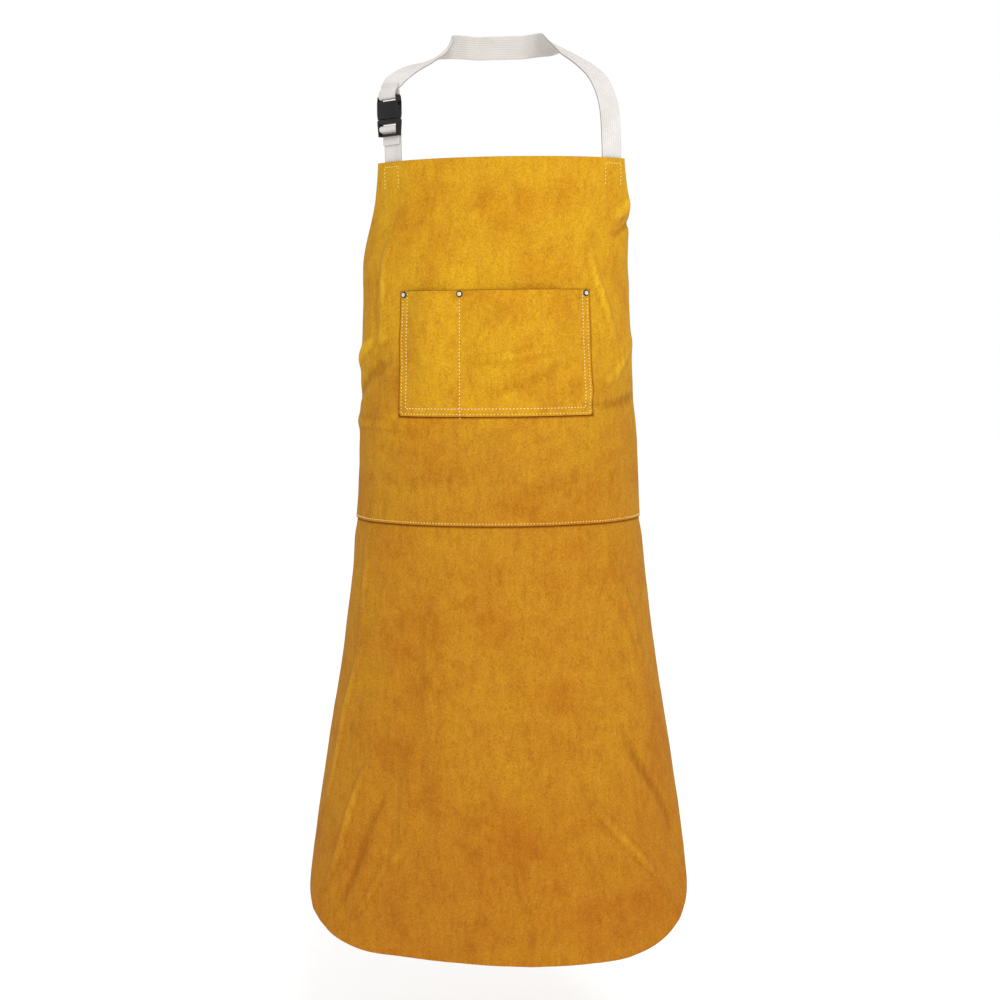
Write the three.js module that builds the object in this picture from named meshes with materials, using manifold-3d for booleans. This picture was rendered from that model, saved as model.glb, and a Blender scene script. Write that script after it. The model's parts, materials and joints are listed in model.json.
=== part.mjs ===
// Welding apron: split leather bib and skirt, patch pocket, webbing neck and waist straps.
// Millimetres, +Z up. The origin is where the neck strap rests on the nape of the wearer's neck.
// The wearer faces -Y. "Left" and "right" are the viewer's, looking at the front: left is -X.

import * as THREE from "three";
import { mergeVertices } from "three/addons/utils/BufferGeometryUtils.js";
import Module from "manifold-3d";

const wasm = await Module();
wasm.setup();

// ---------------------------------------------------------------- driving dimensions

// leather, measured flat
const apronLength = 1067;
const apronHalfWidth = 305;
const bibTopHalfWidth = 181;
const armholeDepth = 262;
const armholePower = 1.47;
const hemCornerWide = 144;
const hemCornerTall = 90;
const leatherThick = 1.4;
const seamDown = 461;
const seamLap = 16;
const touchGap = 0.4;
const backGap = 0.9;

// how it hangs: total turn of the side edge and the line of the front, at six heights
const hangDown = [0, 0.1406, 0.2718, 0.4686, 0.731, 1];
const sideTurn = [2.27, 2.44, 2.37, 2.14, 1.57, 1.05];
const frontLine = [-118, -133, -137, -143, -158, -148];
const edgeTurnExtra = 1.2;

// the bib's top is drawn towards +X, evenly down to the first height and fading out by the second
const topShift = 13;
const topShiftEven = 45;
const topShiftEnd = 150;

// pocket, measured flat
const pocketWide = 263;
const pocketTall = 163;
const pocketDown = 171;
const pocketLeftEdge = -121;
const pocketSmallWide = 86;
const pocketBulge = 15;
const pocketHem = 13;
const stitchInset = 3;
const stitchRowGap = 7;
const threadWide = 1;
const threadHigh = 0.6;

// rivets
const rivetCapRadius = 4.3;
const rivetCapHigh = 2.2;
const rivetPostRadius = 1.4;
const rivetBackRadius = 4;
const rivetBackHigh = 1;
const rivetHoleClearance = 0.3;
const rivetInset = 4.5;

// webbing
const webWide = 32;
const webThick = 1.8;
const sewnLength = 42;
const tailLength = 22;
const foldLength = 14;
const neckBuckleUp = 55;
const leftCornerInset = 13;
const rightCornerInset = 4;
const waistStrapDown = 300;
const waistBackClear = 92;
const waistBackFlat = 64;
const napeBack = 92;
const napeUp = 170;
const napeFlat = 32;
const neckBeside = 66;

// side-release buckle
const buckleSide = 4;
const buckleThick = 9;
const femaleLong = 31;
const wallThick = 2.6;
const prongThick = 4;
const prongRootRadius = 2;
const prongInset = 10;
const latchStart = 12;
const latchEnd = 23;
const guideWide = 6;
const barThick = 3;
const slotTall = 5;
const fitGap = 0.3;

// ---------------------------------------------------------------- finishes

const finishes = {
  leather: new THREE.MeshStandardMaterial({ color: 0xc28a28, roughness: 0.95, metalness: 0 }),
  thread: new THREE.MeshStandardMaterial({ color: 0xe9dcae, roughness: 0.8, metalness: 0 }),
  nickel: new THREE.MeshStandardMaterial({ color: 0xc9c7c2, roughness: 0.25, metalness: 1 }),
  webbing: new THREE.MeshStandardMaterial({ color: 0xdedad4, roughness: 0.9, metalness: 0 }),
  blackPlastic: new THREE.MeshStandardMaterial({ color: 0x2d2b2a, roughness: 0.5, metalness: 0 }),
};

const apron = new THREE.Group();

function addPart(name, geometry, finish) {
  const mesh = new THREE.Mesh(geometry, finishes[finish]);
  mesh.name = name;
  apron.add(mesh);
}

// ---------------------------------------------------------------- joining and cutting

function toSolid(geometry) {
  const bare = geometry.clone();
  bare.deleteAttribute("normal");
  bare.deleteAttribute("uv");
  const merged = mergeVertices(bare, 1e-4);
  const vertProperties = new Float32Array(merged.attributes.position.array);
  const triVerts = new Uint32Array(merged.index.array);
  return new wasm.Manifold(new wasm.Mesh({ numProp: 3, vertProperties, triVerts }));
}

function toGeometry(solid) {
  const { vertProperties, triVerts } = solid.getMesh();
  const geometry = new THREE.BufferGeometry();
  geometry.setAttribute("position", new THREE.BufferAttribute(vertProperties, 3));
  geometry.setIndex(new THREE.BufferAttribute(triVerts, 1));
  geometry.computeVertexNormals();
  return geometry;
}

function subtract(geometry, ...cutters) {
  let solid = toSolid(geometry);
  for (const cutter of cutters) {
    solid = solid.subtract(toSolid(cutter));
  }
  return toGeometry(solid);
}

function unite(geometry, ...others) {
  let solid = toSolid(geometry);
  for (const other of others) {
    solid = solid.add(toSolid(other));
  }
  return toGeometry(solid);
}

// a box given by its lowest and highest corners
function boxBetween(low, high) {
  const size = high.map((value, axis) => value - low[axis]);
  const box = new THREE.BoxGeometry(...size);
  box.translate(...high.map((value, axis) => (value + low[axis]) / 2));
  return box;
}

// ---------------------------------------------------------------- the hanging shape

function alongHang(values, down) {
  const part = THREE.MathUtils.clamp(down / apronLength, 0, 1);
  let i = 0;
  while (i < hangDown.length - 2 && part > hangDown[i + 1]) {
    i += 1;
  }
  const slope = (k) => {
    const a = Math.max(k - 1, 0);
    const b = Math.min(k + 1, hangDown.length - 1);
    return (values[b] - values[a]) / (hangDown[b] - hangDown[a]);
  };
  const span = hangDown[i + 1] - hangDown[i];
  const f = (part - hangDown[i]) / span;
  const rise = values[i] * (1 + 2 * f) * (1 - f) ** 2 + values[i + 1] * f * f * (3 - 2 * f);
  return rise + span * (slope(i) * f * (1 - f) ** 2 + slope(i + 1) * f * f * (f - 1));
}

// the angle that the leather has turned back by, at a distance across from the middle
function turnAt(across, down) {
  const r = across / apronHalfWidth;
  return (alongHang(sideTurn, down) * (r + edgeTurnExtra * r ** 3)) / (1 + edgeTurnExtra);
}

// a point of the leather: across from the middle, down from the bib's top, and out from its middle layer
function hang(across, down, out = 0) {
  const steps = 16;
  const fade = Math.min(Math.max((topShiftEnd - down) / (topShiftEnd - topShiftEven), 0), 1);
  let x = topShift * fade * fade * (3 - 2 * fade);
  let y = alongHang(frontLine, down);
  for (let i = 0; i < steps; i += 1) {
    const turn = turnAt((across * (i + 0.5)) / steps, down);
    x += (Math.cos(turn) * across) / steps;
    y += (Math.sin(turn) * across) / steps;
  }
  const turn = turnAt(across, down);
  return new THREE.Vector3(x + Math.sin(turn) * out, y - Math.cos(turn) * out, -down);
}

function halfWidthAt(down) {
  if (down < armholeDepth) {
    const part = (down / armholeDepth) ** armholePower;
    return bibTopHalfWidth + (apronHalfWidth - bibTopHalfWidth) * part;
  }
  const intoCorner = Math.max(down - (apronLength - hemCornerTall), 0) / hemCornerTall;
  return apronHalfWidth - hemCornerWide * (1 - Math.sqrt(Math.max(1 - intoCorner ** 2, 0)));
}

// a closed sheet: place(u, v, layer) gives the point, with u and v from 0 to 1 and layer 0 inside, 1 outside
function sheet(columns, rows, place) {
  const box = new THREE.BoxGeometry(1, 1, 1, columns, rows, 1);
  const position = box.attributes.position;
  for (let i = 0; i < position.count; i += 1) {
    const point = place(position.getX(i) + 0.5, 0.5 - position.getY(i), position.getZ(i) + 0.5);
    position.setXYZ(i, point.x, point.y, point.z);
  }
  return box;
}

// columns crowd towards the side edges, where the leather turns most
function acrossShare(u) {
  const crowd = 1.18;
  return Math.sin(crowd * (2 * u - 1)) / Math.sin(crowd);
}

function leatherPanel(downs, columns, middleOut) {
  const rows = downs.length - 1;
  return sheet(columns, rows, (u, v, layer) => {
    const down = downs[Math.round(v * rows)];
    const across = acrossShare(u) * halfWidthAt(down);
    return hang(across, down, middleOut(down) + (layer - 0.5) * leatherThick);
  });
}

// evenly spaced values from a to b, with the first left out
function spaced(a, b, steps) {
  return Array.from({ length: steps }, (_, i) => THREE.MathUtils.lerp(a, b, (i + 1) / steps));
}

// ---------------------------------------------------------------- bib and skirt

const layerStep = leatherThick + touchGap;
const postHoleRadius = rivetPostRadius + rivetHoleClearance;
const bibEnd = seamDown + seamLap;
const lapClear = 1.5;

// the skirt lies behind the bib at the lap and comes forward below it
function skirtOut(down) {
  const past = THREE.MathUtils.clamp((down - bibEnd - lapClear) / (2 * seamLap), 0, 1);
  return -layerStep * (1 - past);
}

function rivetAxis(across, down) {
  const base = hang(across, down, 0);
  const tip = hang(across, down, 1);
  const matrix = new THREE.Matrix4();
  const out = tip.sub(base).normalize();
  const turn = new THREE.Quaternion().setFromUnitVectors(new THREE.Vector3(0, 1, 0), out);
  return matrix.compose(base, turn, new THREE.Vector3(1, 1, 1));
}

const rivetDown = pocketDown + rivetInset;
const rivetAcross = {
  left: pocketLeftEdge + rivetInset,
  middle: pocketLeftEdge + pocketSmallWide,
  right: pocketLeftEdge + pocketWide - rivetInset,
};

function postHole(across) {
  const hole = new THREE.CylinderGeometry(postHoleRadius, postHoleRadius, 40, 16);
  return hole.applyMatrix4(rivetAxis(across, rivetDown));
}

function makePanels() {
  const columns = 35;
  const bibDowns = [0, ...spaced(0, armholeDepth, 8), ...spaced(armholeDepth, bibEnd, 8)];
  const holes = Object.values(rivetAcross).map(postHole);
  addPart("bib_panel", subtract(leatherPanel(bibDowns, columns, () => 0), ...holes), "leather");
  const cornerTop = apronLength - hemCornerTall;
  const corner = spaced(0, Math.PI / 2, 8).map((angle) => cornerTop + hemCornerTall * Math.sin(angle));
  const skirtDowns = [
    seamDown,
    bibEnd,
    bibEnd + lapClear,
    ...spaced(bibEnd + lapClear, cornerTop, 11),
    ...corner,
  ];
  addPart("skirt_panel", leatherPanel(skirtDowns, columns, skirtOut), "leather");
}

// ---------------------------------------------------------------- pocket

// how far the pocket's middle layer stands off the bib's, over one compartment's width and the height
function pocketOut(across, down) {
  const divider = pocketLeftEdge + pocketSmallWide;
  const right = pocketLeftEdge + pocketWide;
  const inSmall = across < divider;
  const low = inSmall ? pocketLeftEdge + pocketHem : divider + pocketHem / 2;
  const high = inSmall ? divider - pocketHem / 2 : right - pocketHem;
  const part = THREE.MathUtils.clamp((across - low) / (high - low), 0, 1);
  const fall = THREE.MathUtils.clamp((pocketDown + pocketTall - pocketHem - down) / (pocketTall * 0.6), 0, 1);
  return layerStep + pocketBulge * Math.sin(Math.PI * part) * Math.sin((fall * Math.PI) / 2);
}

function pocketPoint(across, down, out) {
  return hang(across, down, pocketOut(across, down) + out);
}

function makePocket() {
  const divider = pocketSmallWide;
  const hem = pocketHem;
  const columns = [
    0,
    hem,
    ...spaced(hem, divider - hem / 2, 8),
    divider,
    divider + hem / 2,
    ...spaced(divider + hem / 2, pocketWide - hem, 16),
    pocketWide,
  ];
  const bottom = pocketTall - hem;
  const rows = [0, ...spaced(0, bottom - 60, 4), ...spaced(bottom - 60, bottom, 6), pocketTall];
  const panel = sheet(columns.length - 1, rows.length - 1, (u, v, layer) => {
    const across = pocketLeftEdge + columns[Math.round(u * (columns.length - 1))];
    const down = pocketDown + rows[Math.round(v * (rows.length - 1))];
    return pocketPoint(across, down, (layer - 0.5) * leatherThick);
  });
  addPart("pocket_panel", subtract(panel, ...Object.values(rivetAcross).map(postHole)), "leather");
}

// ---------------------------------------------------------------- threads

// a thread laid along a path on the leather, as one low ribbon; surface(across, down, out) gives the point
function threadOn(path, surface) {
  const points = path.map(([across, down]) => new THREE.Vector2(across, down));
  const sideways = points.map((point, i) => {
    const before = points[Math.max(i - 1, 0)];
    const after = points[Math.min(i + 1, points.length - 1)];
    const into = point.clone().sub(before).normalize();
    const from = after.clone().sub(point).normalize();
    const mean = into.clone().add(from).normalize();
    const stretch = 1 / Math.max(mean.dot(i === 0 ? from : into), 0.5);
    return new THREE.Vector2(-mean.y, mean.x).multiplyScalar((stretch * threadWide) / 2);
  });
  return sheet(1, points.length - 1, (u, v, layer) => {
    const i = Math.round(v * (points.length - 1));
    const at = points[i].clone().addScaledVector(sideways[i], 1 - 2 * u);
    const out = leatherThick / 2 + touchGap + layer * threadHigh;
    return surface(at.x, at.y, out);
  });
}

function straightPath(from, to, steps) {
  const path = [];
  for (let i = 0; i <= steps; i += 1) {
    const f = i / steps;
    path.push([THREE.MathUtils.lerp(from[0], to[0], f), THREE.MathUtils.lerp(from[1], to[1], f)]);
  }
  return path;
}

// down the left side, along the bottom and up the right side of the pocket
function pocketPath(inset, start) {
  const left = pocketLeftEdge + inset;
  const right = pocketLeftEdge + pocketWide - inset;
  const bottom = pocketDown + pocketTall - inset;
  const sides = 10;
  const across = 26;
  return [
    ...straightPath([left, start], [left, bottom], sides),
    ...straightPath([left, bottom], [right, bottom], across).slice(1),
    ...straightPath([right, bottom], [right, start], sides).slice(1),
  ];
}

function makeThreads() {
  const belowRivet = rivetDown + rivetCapRadius + 1.5;
  const outer = pocketPath(stitchInset, belowRivet);
  addPart("pocket_outer_stitch", threadOn(outer, pocketPoint), "thread");
  const inner = pocketPath(stitchInset + stitchRowGap, pocketDown + 1.5);
  addPart("pocket_inner_stitch", threadOn(inner, pocketPoint), "thread");
  const middle = rivetAcross.middle;
  const dividerEnd = pocketDown + pocketTall - stitchInset - stitchRowGap - 2;
  const divider = straightPath([middle, belowRivet], [middle, dividerEnd], 10);
  addPart("pocket_divider_stitch", threadOn(divider, pocketPoint), "thread");
  const seamEnd = apronHalfWidth - 5;
  const seamLine = seamDown + seamLap - stitchInset;
  const seam = [-1, ...spaced(-1, 1, 52)].map((f) => [acrossShare((f + 1) / 2) * seamEnd, seamLine]);
  addPart("waist_seam_stitch", threadOn(seam, hang), "thread");
}

// ---------------------------------------------------------------- rivets

function makeRivet(side) {
  const across = rivetAcross[side];
  const matrix = rivetAxis(across, rivetDown);
  const front = layerStep + leatherThick / 2 + touchGap;
  const back = -leatherThick / 2 - backGap;
  const profile = [
    [0, back - rivetBackHigh / 2],
    [rivetPostRadius, back - rivetBackHigh / 2],
    [rivetPostRadius, front],
    [rivetCapRadius, front],
    [rivetCapRadius * 0.96, front + rivetCapHigh * 0.36],
    [rivetCapRadius * 0.74, front + rivetCapHigh * 0.76],
    [rivetCapRadius * 0.38, front + rivetCapHigh * 0.95],
    [0, front + rivetCapHigh],
  ].map(([radius, height]) => new THREE.Vector2(radius, height));
  addPart(`pocket_rivet_${side}`, new THREE.LatheGeometry(profile, 18).applyMatrix4(matrix), "nickel");
  const ring = [
    [postHoleRadius, back - rivetBackHigh],
    [rivetBackRadius, back - rivetBackHigh],
    [rivetBackRadius, back],
    [postHoleRadius, back],
    [postHoleRadius, back - rivetBackHigh],
  ].map(([radius, height]) => new THREE.Vector2(radius, height));
  addPart(`pocket_rivet_back_${side}`, new THREE.LatheGeometry(ring, 18).applyMatrix4(matrix), "nickel");
}

// ---------------------------------------------------------------- buckles
// In a buckle's own frame X is across the strap, Y along it towards the socket half, Z out from the wearer.
// The two halves meet at Y = 0.

function plate(outline, low, high) {
  const shape = new THREE.Shape(outline.map(([x, y]) => new THREE.Vector2(x, y)));
  const solid = new THREE.ExtrudeGeometry(shape, { depth: high - low, bevelEnabled: false });
  return solid.translate(0, 0, low);
}

// a plate whose front and back faces step in at the edge
function softPlate(outline, thick, soften) {
  const shape = new THREE.Shape(outline.map(([x, y]) => new THREE.Vector2(x, y)));
  const solid = new THREE.ExtrudeGeometry(shape, {
    depth: thick - 2 * soften,
    bevelEnabled: true,
    bevelThickness: soften,
    bevelSize: soften,
    bevelOffset: -soften,
    bevelSegments: 2,
  });
  return solid.translate(0, 0, -thick / 2 + soften);
}

const half = webWide / 2 + buckleSide;
const prongSide = half - prongInset;
const slotHalf = webWide / 2 + 1;
const cavityHalf = half - wallThick;
const cavityThick = buckleThick / 2 - 1.6;
const far = 60;

function socketHalf() {
  const outline = [
    [-half + 1, 0.2],
    [half - 1, 0.2],
    [half, 6],
    [half, femaleLong - 10],
    [half - 1.2, femaleLong - 2],
    [half - 3, femaleLong],
    [-half + 3, femaleLong],
    [-half + 1.2, femaleLong - 2],
    [-half, femaleLong - 10],
    [-half, 6],
  ];
  const slotTop = femaleLong - barThick;
  const cutters = [
    boxBetween([-cavityHalf, -1, -cavityThick], [cavityHalf, latchEnd, cavityThick]),
    boxBetween([-far, latchStart, -cavityThick], [far, latchEnd - 1, cavityThick]),
    boxBetween([-slotHalf, slotTop - slotTall, -far], [slotHalf, slotTop, far]),
    boxBetween([-slotHalf, slotTop - 1, barThick / 2], [slotHalf, far, far]),
    boxBetween([-slotHalf, slotTop - 1, -far], [slotHalf, far, -barThick / 2]),
  ];
  return subtract(softPlate(outline, buckleThick, 1.2), ...cutters);
}

const ladderBarTop = -6 - slotTall;
const ladderBarLow = ladderBarTop - barThick;
const ladderSlotLow = ladderBarLow - slotTall;

function plugHalf() {
  const block = [
    [-half + 1, -0.2],
    [-half, -3],
    [-half + 0.5, -8],
    [-half + 2, ladderSlotLow - barThick],
    [half - 2, ladderSlotLow - barThick],
    [half - 0.5, -8],
    [half, -3],
    [half - 1, -0.2],
  ];
  const cutters = [
    boxBetween([-slotHalf, ladderBarTop, -far], [slotHalf, -6, far]),
    boxBetween([-slotHalf, ladderSlotLow, -far], [slotHalf, ladderBarLow, far]),
    boxBetween([-slotHalf, -far, barThick / 2], [slotHalf, ladderBarTop, far]),
    boxBetween([-slotHalf, -far, -far], [slotHalf, ladderBarTop, -barThick / 2]),
  ];
  const guide = boxBetween([-guideWide / 2, -3, -2], [guideWide / 2, latchEnd - 3, 2]);
  const body = subtract(softPlate(block, buckleThick, 1.2), ...cutters);
  return unite(body, guide);
}

// one sprung prong, drawn for the +X side, with a round root at its bending point
function prong(side) {
  const shape = new THREE.Shape();
  const inner = prongSide - prongThick / 2;
  const outer = prongSide + prongThick / 2;
  shape.moveTo(inner, prongRootRadius);
  shape.absarc(prongSide, prongRootRadius, prongRootRadius, Math.PI, 2 * Math.PI, false);
  shape.lineTo(outer + 1.5, latchStart - 1);
  shape.lineTo(outer + 1.8, latchStart + fitGap);
  shape.lineTo(half - 0.4, latchStart + fitGap);
  shape.lineTo(half - 0.6, latchStart + 4);
  shape.lineTo(outer + 2.5, latchEnd - 2);
  shape.lineTo(outer, latchEnd - 1.4);
  shape.lineTo(inner + 0.6, latchEnd - 3);
  const thick = 2 * cavityThick - 2 * fitGap;
  const options = { depth: thick, bevelEnabled: false, curveSegments: 8 };
  const solid = new THREE.ExtrudeGeometry(shape, options).translate(0, 0, -thick / 2);
  if (side > 0) {
    return solid;
  }
  return solid.rotateY(Math.PI);
}

function makeBuckle(where, frame) {
  const parts = {
    [`${where}_buckle_socket`]: socketHalf(),
    [`${where}_buckle_plug`]: plugHalf(),
    [`${where}_prong_left`]: prong(-1),
    [`${where}_prong_right`]: prong(1),
  };
  for (const [name, geometry] of Object.entries(parts)) {
    addPart(name, geometry.applyMatrix4(frame), "blackPlastic");
  }
}

// ---------------------------------------------------------------- webbing

// webbing seen edge on: a line of [along, out] points in a buckle's frame, given its thickness and width
function foldedWeb(points) {
  const line = points.map(([along, out]) => new THREE.Vector2(out, along));
  const steps = line.length - 1;
  return sheet(1, steps, (u, v, layer) => {
    const i = Math.round(v * steps);
    const before = line[Math.max(i - 1, 0)];
    const after = line[Math.min(i + 1, steps)];
    const into = line[i].clone().sub(before).normalize();
    const from = after.clone().sub(line[i]).normalize();
    const mean = into.clone().add(from).normalize();
    const stretch = 1 / Math.max(mean.dot(i === 0 ? from : into), 0.6);
    const side = new THREE.Vector2(mean.y, -mean.x).multiplyScalar((layer - 0.5) * webThick * stretch);
    const at = line[i].clone().add(side);
    return new THREE.Vector3((0.5 - u) * webWide, at.y, at.x);
  });
}

// a quarter or half turn round a bar: centre, radius, start and end angles in the [along, out] plane
function bend(along, out, radius, start, end, steps = 6) {
  const points = [];
  for (let i = 0; i <= steps; i += 1) {
    const angle = THREE.MathUtils.lerp(start, end, i / steps);
    points.push([along + radius * Math.sin(angle), out + radius * Math.cos(angle)]);
  }
  return points;
}

// the webbing's middle clears the bar's square corners
const barRound = (barThick / 2) * Math.SQRT2 + fitGap + webThick / 2;
const socketBar = femaleLong - barThick / 2;
const foldTop = socketBar + foldLength;

// the sewn fold round the socket's bar: down behind it, up in front of it, back to the strap
function socketFold() {
  return foldedWeb([
    [foldTop + 3, -barRound],
    [socketBar, -barRound],
    ...bend(socketBar, 0, barRound, Math.PI, 2 * Math.PI).slice(1),
    [socketBar + foldLength / 2, barRound * 0.6],
    [foldTop, -barRound + webThick + fitGap],
  ]);
}

const ladderBar = (ladderBarTop + ladderBarLow) / 2;
const ladderLoad = barRound + webThick + fitGap;
const ladderDrop = 32;

// the strap goes up behind the ladder bars, round the middle one, and down behind the last one
function ladderFold(loadEnd, tail) {
  return foldedWeb([
    [loadEnd, -ladderLoad],
    [ladderBar - barRound - 0.7, -ladderLoad],
    ...bend(ladderBar, 0, barRound, Math.PI, -Math.PI / 2, 10),
    [ladderSlotLow, -barRound],
    [ladderSlotLow - barThick - tail, -barRound],
  ]);
}

// a flat strap through points, each given with its outward side, as many steps between them as asked
function strapThrough(stops, stepsEach) {
  const curve = new THREE.CatmullRomCurve3(stops.map((stop) => stop.at));
  return sheet(1, (stops.length - 1) * stepsEach, (u, v, layer) => {
    const at = curve.getPoint(v);
    const along = curve.getTangent(v);
    const f = v * (stops.length - 1);
    const i = Math.min(Math.floor(f + 1e-9), stops.length - 2);
    const out = stops[i].out.clone().lerp(stops[i + 1].out, f - i);
    out.addScaledVector(along, -out.dot(along)).normalize();
    const side = new THREE.Vector3().crossVectors(along, out).normalize();
    at.addScaledVector(side, (0.5 - u) * webWide);
    return at.addScaledVector(out, (layer - 0.5) * webThick);
  });
}

// ---------------------------------------------------------------- neck strap

const leftCorner = leftCornerInset + webWide / 2 - bibTopHalfWidth;
const rightCorner = bibTopHalfWidth - rightCornerInset - webWide / 2;

// how far the leather falls away behind a flat strap, at a distance across and down from the strap's middle
function fallAway(across, down, besideAcross, besideDown) {
  const middle = hang(across, down);
  const out = hang(across, down, 1).sub(middle);
  const falls = [-1, 1].map((sign) => {
    const beside = hang(across + sign * besideAcross, down + sign * besideDown);
    return -beside.sub(middle).dot(out);
  });
  return Math.max(0, ...falls);
}

function behindCorner(across) {
  return -(leatherThick / 2 + backGap + webThick / 2 + fallAway(across, 0, webWide / 2, 0));
}

// a frame behind a bib corner: X across, Y up, Z out, that far up from the top edge and out from the strap
function cornerFrame(across, up, out) {
  const at = hang(across, 0);
  const outward = hang(across, 0, 1).sub(at);
  const upward = new THREE.Vector3(0, 0, 1);
  const acrossward = new THREE.Vector3().crossVectors(upward, outward);
  const frame = new THREE.Matrix4().makeBasis(acrossward, upward, outward);
  const offset = behindCorner(across) + out;
  return frame.setPosition(at.addScaledVector(upward, up).addScaledVector(outward, offset));
}

const neckFrame = cornerFrame(leftCorner, neckBuckleUp, ladderLoad);

function inFrame(frame, along, out) {
  return new THREE.Vector3(0, along, out).applyMatrix4(frame);
}

// the way out of a frame's own Z side
function outOf(frame) {
  return new THREE.Vector3(0, 0, 1).transformDirection(frame);
}

function makeNeckStraps() {
  const short = ladderFold(-neckBuckleUp - sewnLength, tailLength);
  addPart("neck_strap_short", short.applyMatrix4(neckFrame), "webbing");

  const left = outOf(neckFrame);
  const rightFrame = cornerFrame(rightCorner, 0, 0);
  const right = outOf(rightFrame);
  const place = (x, y, z) => new THREE.Vector3(x, y, z);
  const neckSide = (side) => [
    { at: place(side * neckBeside, 51, napeUp - 4), out: place(side * 0.85, 0.3, 0.35) },
    { at: place(side * (neckBeside - 12), 77, napeUp), out: place(side * 0.72, 0.68, 0.1) },
  ];
  const stops = [
    { at: inFrame(neckFrame, foldTop, -barRound), out: left },
    { at: place(-121, -70, 108), out: place(-0.52, -0.78, 0.33) },
    { at: place(-107, -60, 120), out: place(-0.42, -0.7, 0.56) },
    { at: place(-90, -42, 131), out: place(-0.32, -0.52, 0.79) },
    { at: place(-77, -15, 142), out: place(-0.35, -0.2, 0.91) },
    { at: place(-69, 18, 156), out: place(-0.62, 0, 0.78) },
    ...neckSide(-1),
    ...[-1, -0.5, 0.5, 1].map((share) => {
      return { at: place(share * napeFlat, napeBack, napeUp), out: place(0, 1, 0) };
    }),
    ...neckSide(1).reverse(),
    { at: place(84, 24, 160), out: place(0.5, -0.1, 0.86) },
    { at: place(104, 0, 143), out: place(0.32, -0.28, 0.9) },
    { at: place(126, -24, 125), out: place(0.36, -0.42, 0.83) },
    { at: place(144, -46, 104), out: place(0.5, -0.62, 0.6) },
    { at: place(156.5, -61.5, 70), out: place(0.64, -0.74, 0.18) },
    { at: inFrame(rightFrame, 20, 0), out: right },
    { at: inFrame(rightFrame, -sewnLength / 3, 0), out: right },
    { at: inFrame(rightFrame, -sewnLength, 0), out: right },
  ];
  const fold = socketFold().applyMatrix4(neckFrame);
  addPart("neck_strap_long", unite(strapThrough(stops, 4), fold), "webbing");
}

// ---------------------------------------------------------------- waist straps

// the strap across the back lies this far behind the side edges of the bib
const waistBack = hang(apronHalfWidth, waistStrapDown).y + waistBackClear;

// the waist buckle sits at the middle of the back, its socket half towards -X, facing out to +Y
const waistFrame = new THREE.Matrix4()
  .makeBasis(new THREE.Vector3(0, 0, -1), new THREE.Vector3(-1, 0, 0), new THREE.Vector3(0, 1, 0))
  .setPosition(0, waistBack, -waistStrapDown);

// from behind the side edge of the bib, round the wearer's side, to a point on the back
function waistStops(side, back) {
  const insets = [sewnLength, ...spaced(sewnLength, 0, 4)];
  const falls = insets.map((inset) => fallAway(apronHalfWidth - inset, waistStrapDown, 0, webWide / 2));
  const behind = -(leatherThick / 2 + backGap + webThick / 2 + Math.max(...falls));
  const sewn = insets.map((inset) => {
    const across = side * (apronHalfWidth - inset);
    const at = hang(across, waistStrapDown, behind);
    return { at, out: hang(across, waistStrapDown, behind + 1).sub(at) };
  });
  const last = sewn[sewn.length - 1];
  const edge = last.at;
  const leaving = new THREE.Vector3(0, 0, 1).cross(last.out).multiplyScalar(side);
  const reach = back.distanceTo(edge) * 0.4;
  const handle = edge.clone().addScaledVector(leaving, reach);
  const landing = back.clone().add(new THREE.Vector3(side * reach, 0, 0));
  const curve = new THREE.CubicBezierCurve3(edge, handle, landing, back);
  const free = spaced(0, 1, 6).map((f) => {
    const along = curve.getTangent(f);
    return { at: curve.getPoint(f), out: new THREE.Vector3(along.y, -along.x, 0).multiplyScalar(side) };
  });
  return [...sewn, ...free];
}

function makeWaistStraps() {
  const outward = new THREE.Vector3(0, 1, 0);
  const leftEnd = inFrame(waistFrame, foldTop, -barRound);
  const leftFlat = leftEnd.clone().setX(-waistBackFlat);
  const leftStops = [...waistStops(-1, leftFlat), { at: leftEnd, out: outward }];
  const fold = socketFold().applyMatrix4(waistFrame);
  addPart("waist_strap_left", unite(strapThrough(leftStops, 3), fold), "webbing");

  const loadEnd = ladderSlotLow - ladderDrop;
  const rightEnd = inFrame(waistFrame, loadEnd, -ladderLoad);
  const rightFlat = rightEnd.clone().setX(waistBackFlat);
  const rightStops = [...waistStops(1, rightFlat), { at: rightEnd, out: outward }];
  const ladder = ladderFold(loadEnd - 4, tailLength).applyMatrix4(waistFrame);
  addPart("waist_strap_right", unite(strapThrough(rightStops, 3), ladder), "webbing");
}

// ---------------------------------------------------------------- sewing at the strap ends

function makeStrapSewing() {
  const edge = webWide / 2 - stitchInset;
  const low = sewnLength - stitchInset - 3;
  for (const [name, side, middle] of [["left", -1, leftCorner], ["right", 1, rightCorner]]) {
    const neckPath = [
      ...straightPath([middle - edge, low], [middle - edge, stitchInset + 4], 5),
      ...straightPath([middle - edge, stitchInset + 4], [middle + edge, stitchInset + 4], 4).slice(1),
      ...straightPath([middle + edge, stitchInset + 4], [middle + edge, low], 5).slice(1),
    ];
    addPart(`neck_strap_stitch_${name}`, threadOn(neckPath, hang), "thread");
    const outer = side * (apronHalfWidth - stitchInset - 4);
    const inner = side * (apronHalfWidth - low);
    const top = waistStrapDown - side * edge;
    const bottom = waistStrapDown + side * edge;
    const waistPath = [
      ...straightPath([inner, top], [outer, top], 5),
      ...straightPath([outer, top], [outer, bottom], 4).slice(1),
      ...straightPath([outer, bottom], [inner, bottom], 5).slice(1),
    ];
    addPart(`waist_strap_stitch_${name}`, threadOn(waistPath, hang), "thread");
  }
}

// ---------------------------------------------------------------- the apron

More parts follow.
